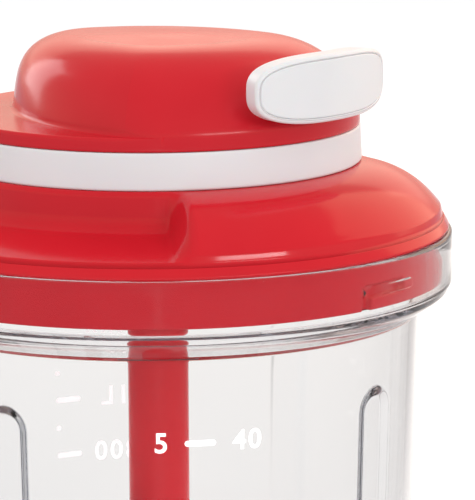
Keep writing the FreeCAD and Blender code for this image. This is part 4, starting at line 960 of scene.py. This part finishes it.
def make_floor():
    """Plain pale floor. Clear plastic and gloss see it greyer to the sides, by its slant from the camera, so
    that clear edges show, and clear plastic sees all of it a little greyer, so that white print shows."""
    paper = bpy.data.materials.new("white_paper_sweep")
    paper.use_nodes = True
    tree = paper.node_tree
    tree.nodes.clear()
    place = add(tree, "ShaderNodeTexCoord").outputs["Object"]
    turned = add(tree, "ShaderNodeMapping", {"Vector": place, "Rotation": (0, 0, math.radians(-VIEW_TURN))})
    parts = add(tree, "ShaderNodeSeparateXYZ", {"Vector": turned.outputs[0]}).outputs
    ahead = add(tree, "ShaderNodeMath", {0: CAMERA_DISTANCE, 1: parts["X"]}, operation="SUBTRACT")
    ahead = add(tree, "ShaderNodeMath", {0: ahead.outputs[0], 1: 0.1}, operation="MAXIMUM")
    aside = add(tree, "ShaderNodeMath", {0: parts["Y"]}, operation="ABSOLUTE")
    slant = add(tree, "ShaderNodeMath", {0: aside.outputs[0], 1: ahead.outputs[0]}, operation="DIVIDE")
    wedge = add(tree, "ShaderNodeMapRange", {"Value": slant.outputs[0], "From Min": 0.125, "From Max": 0.30,
                                             "To Min": 1.0, "To Max": 0.1}, interpolation_type="SMOOTHSTEP")
    path = add(tree, "ShaderNodeLightPath").outputs
    lit = add(tree, "ShaderNodeMath", {0: wedge.outputs[0], 1: path["Is Camera Ray"]}, operation="MAXIMUM")
    shade = add(tree, "ShaderNodeMath", {0: path["Is Transmission Ray"], 1: -0.55, 2: lit.outputs[0]},
                operation="MULTIPLY_ADD", use_clamp=True)
    colours = {FACTOR: shade.outputs[0], COLOUR_A: linear("#B4B5B7"), COLOUR_B: linear("#E8E8E8")}
    colour = add(tree, "ShaderNodeMix", colours, data_type="RGBA")
    flat = add(tree, "ShaderNodeBsdfDiffuse", {"Color": colour.outputs[COLOUR_OUT]})
    faint = add(tree, "ShaderNodeMath", {0: seen_directly(tree), 1: 0.17}, operation="MULTIPLY")
    faint = add(tree, "ShaderNodeMath", {0: faint.outputs[0], 1: lit.outputs[0]}, operation="MULTIPLY")
    glow = add(tree, "ShaderNodeEmission", {"Color": linear("#FFFFFF"), "Strength": faint.outputs[0]})
    both = add(tree, "ShaderNodeAddShader", {0: flat.outputs[0], 1: glow.outputs[0]})
    add(tree, "ShaderNodeOutputMaterial", {"Surface": both.outputs[0]})
    half = 6.0
    corners = [(-half, -half, 0), (half, -half, 0), (half, half, 0), (-half, half, 0)]
    mesh = bpy.data.meshes.new("floor")
    mesh.from_pydata(corners, [], [(0, 1, 2, 3)])
    mesh.materials.append(paper)
    floor = bpy.data.objects.new("floor", mesh)
    bpy.context.scene.collection.objects.link(floor)


def make_lights():
    """Large soft lights behind and beside the object and a narrow strip in front, which draws the highlight
    along the cover's foot. Each has a place, an aim, a width and height in metres, and a power in watts."""
    aim = (0, 0, 0.14)
    softbox("right_softbox", from_view(0.84, 0.64, 0.66), aim, 0.9, 1.0, 3.5, "#FFCDAA")
    softbox("back_softbox", from_view(-0.1, 1.3, 0.62), aim, 1.8, 0.5, 2.0, "#FFDAC2")
    softbox("left_softbox", from_view(-0.72, 0.75, 0.50), aim, 0.4, 0.6, 1.7)
    softbox("front_strip", from_view(0.614, -0.830, 0.411), aim, 0.5, 0.055, 1.5)


def make_camera():
    """Camera of the photograph: a long lens above the rim, turned a little to the right of the axis."""
    pitch, yaw, roll = math.radians(10.61), math.radians(1.50), math.radians(-0.31)
    right = np.array(from_view(1, 0, 0))
    away = np.array(from_view(0, 1, 0))
    up = np.array([0, 0, 1.0])
    level = math.sin(yaw) * right + math.cos(yaw) * away
    side = math.cos(yaw) * right - math.sin(yaw) * away
    ahead = math.cos(pitch) * level - math.sin(pitch) * up
    above = math.sin(pitch) * level + math.cos(pitch) * up
    across = math.cos(roll) * side + math.sin(roll) * above
    upright = math.cos(roll) * above - math.sin(roll) * side
    lens = bpy.data.cameras.new("photo_camera")
    lens.sensor_width = 36.0
    lens.lens = 225.1
    lens.clip_start = 0.05
    lens.clip_end = 30
    camera = bpy.data.objects.new("photo_camera", lens)
    place = np.array(from_view(0, -CAMERA_DISTANCE, CAMERA_HEIGHT))
    camera.matrix_world = Matrix(np.c_[np.r_[np.stack([across, upright, -ahead]).T, [[0, 0, 0]]],
                                       np.r_[place, 1]].tolist())
    bpy.context.scene.collection.objects.link(camera)
    bpy.context.scene.camera = camera
    bpy.context.scene.view_settings.view_transform = "Standard"


def let_light_through():
    """Enough bounces for light that runs inside the clear wall, which would end black otherwise."""
    cycles = bpy.context.scene.cycles
    cycles.max_bounces = 32
    cycles.glossy_bounces = 24
    cycles.transmission_bounces = 32


make_container()
make_lower_cover()
make_trim_band()
make_grip()
make_handle()
make_cords()
make_cord_guide()
make_scale()
finish_cad_nodes()
make_surround()
make_floor()
make_lights()
make_camera()
let_light_through()
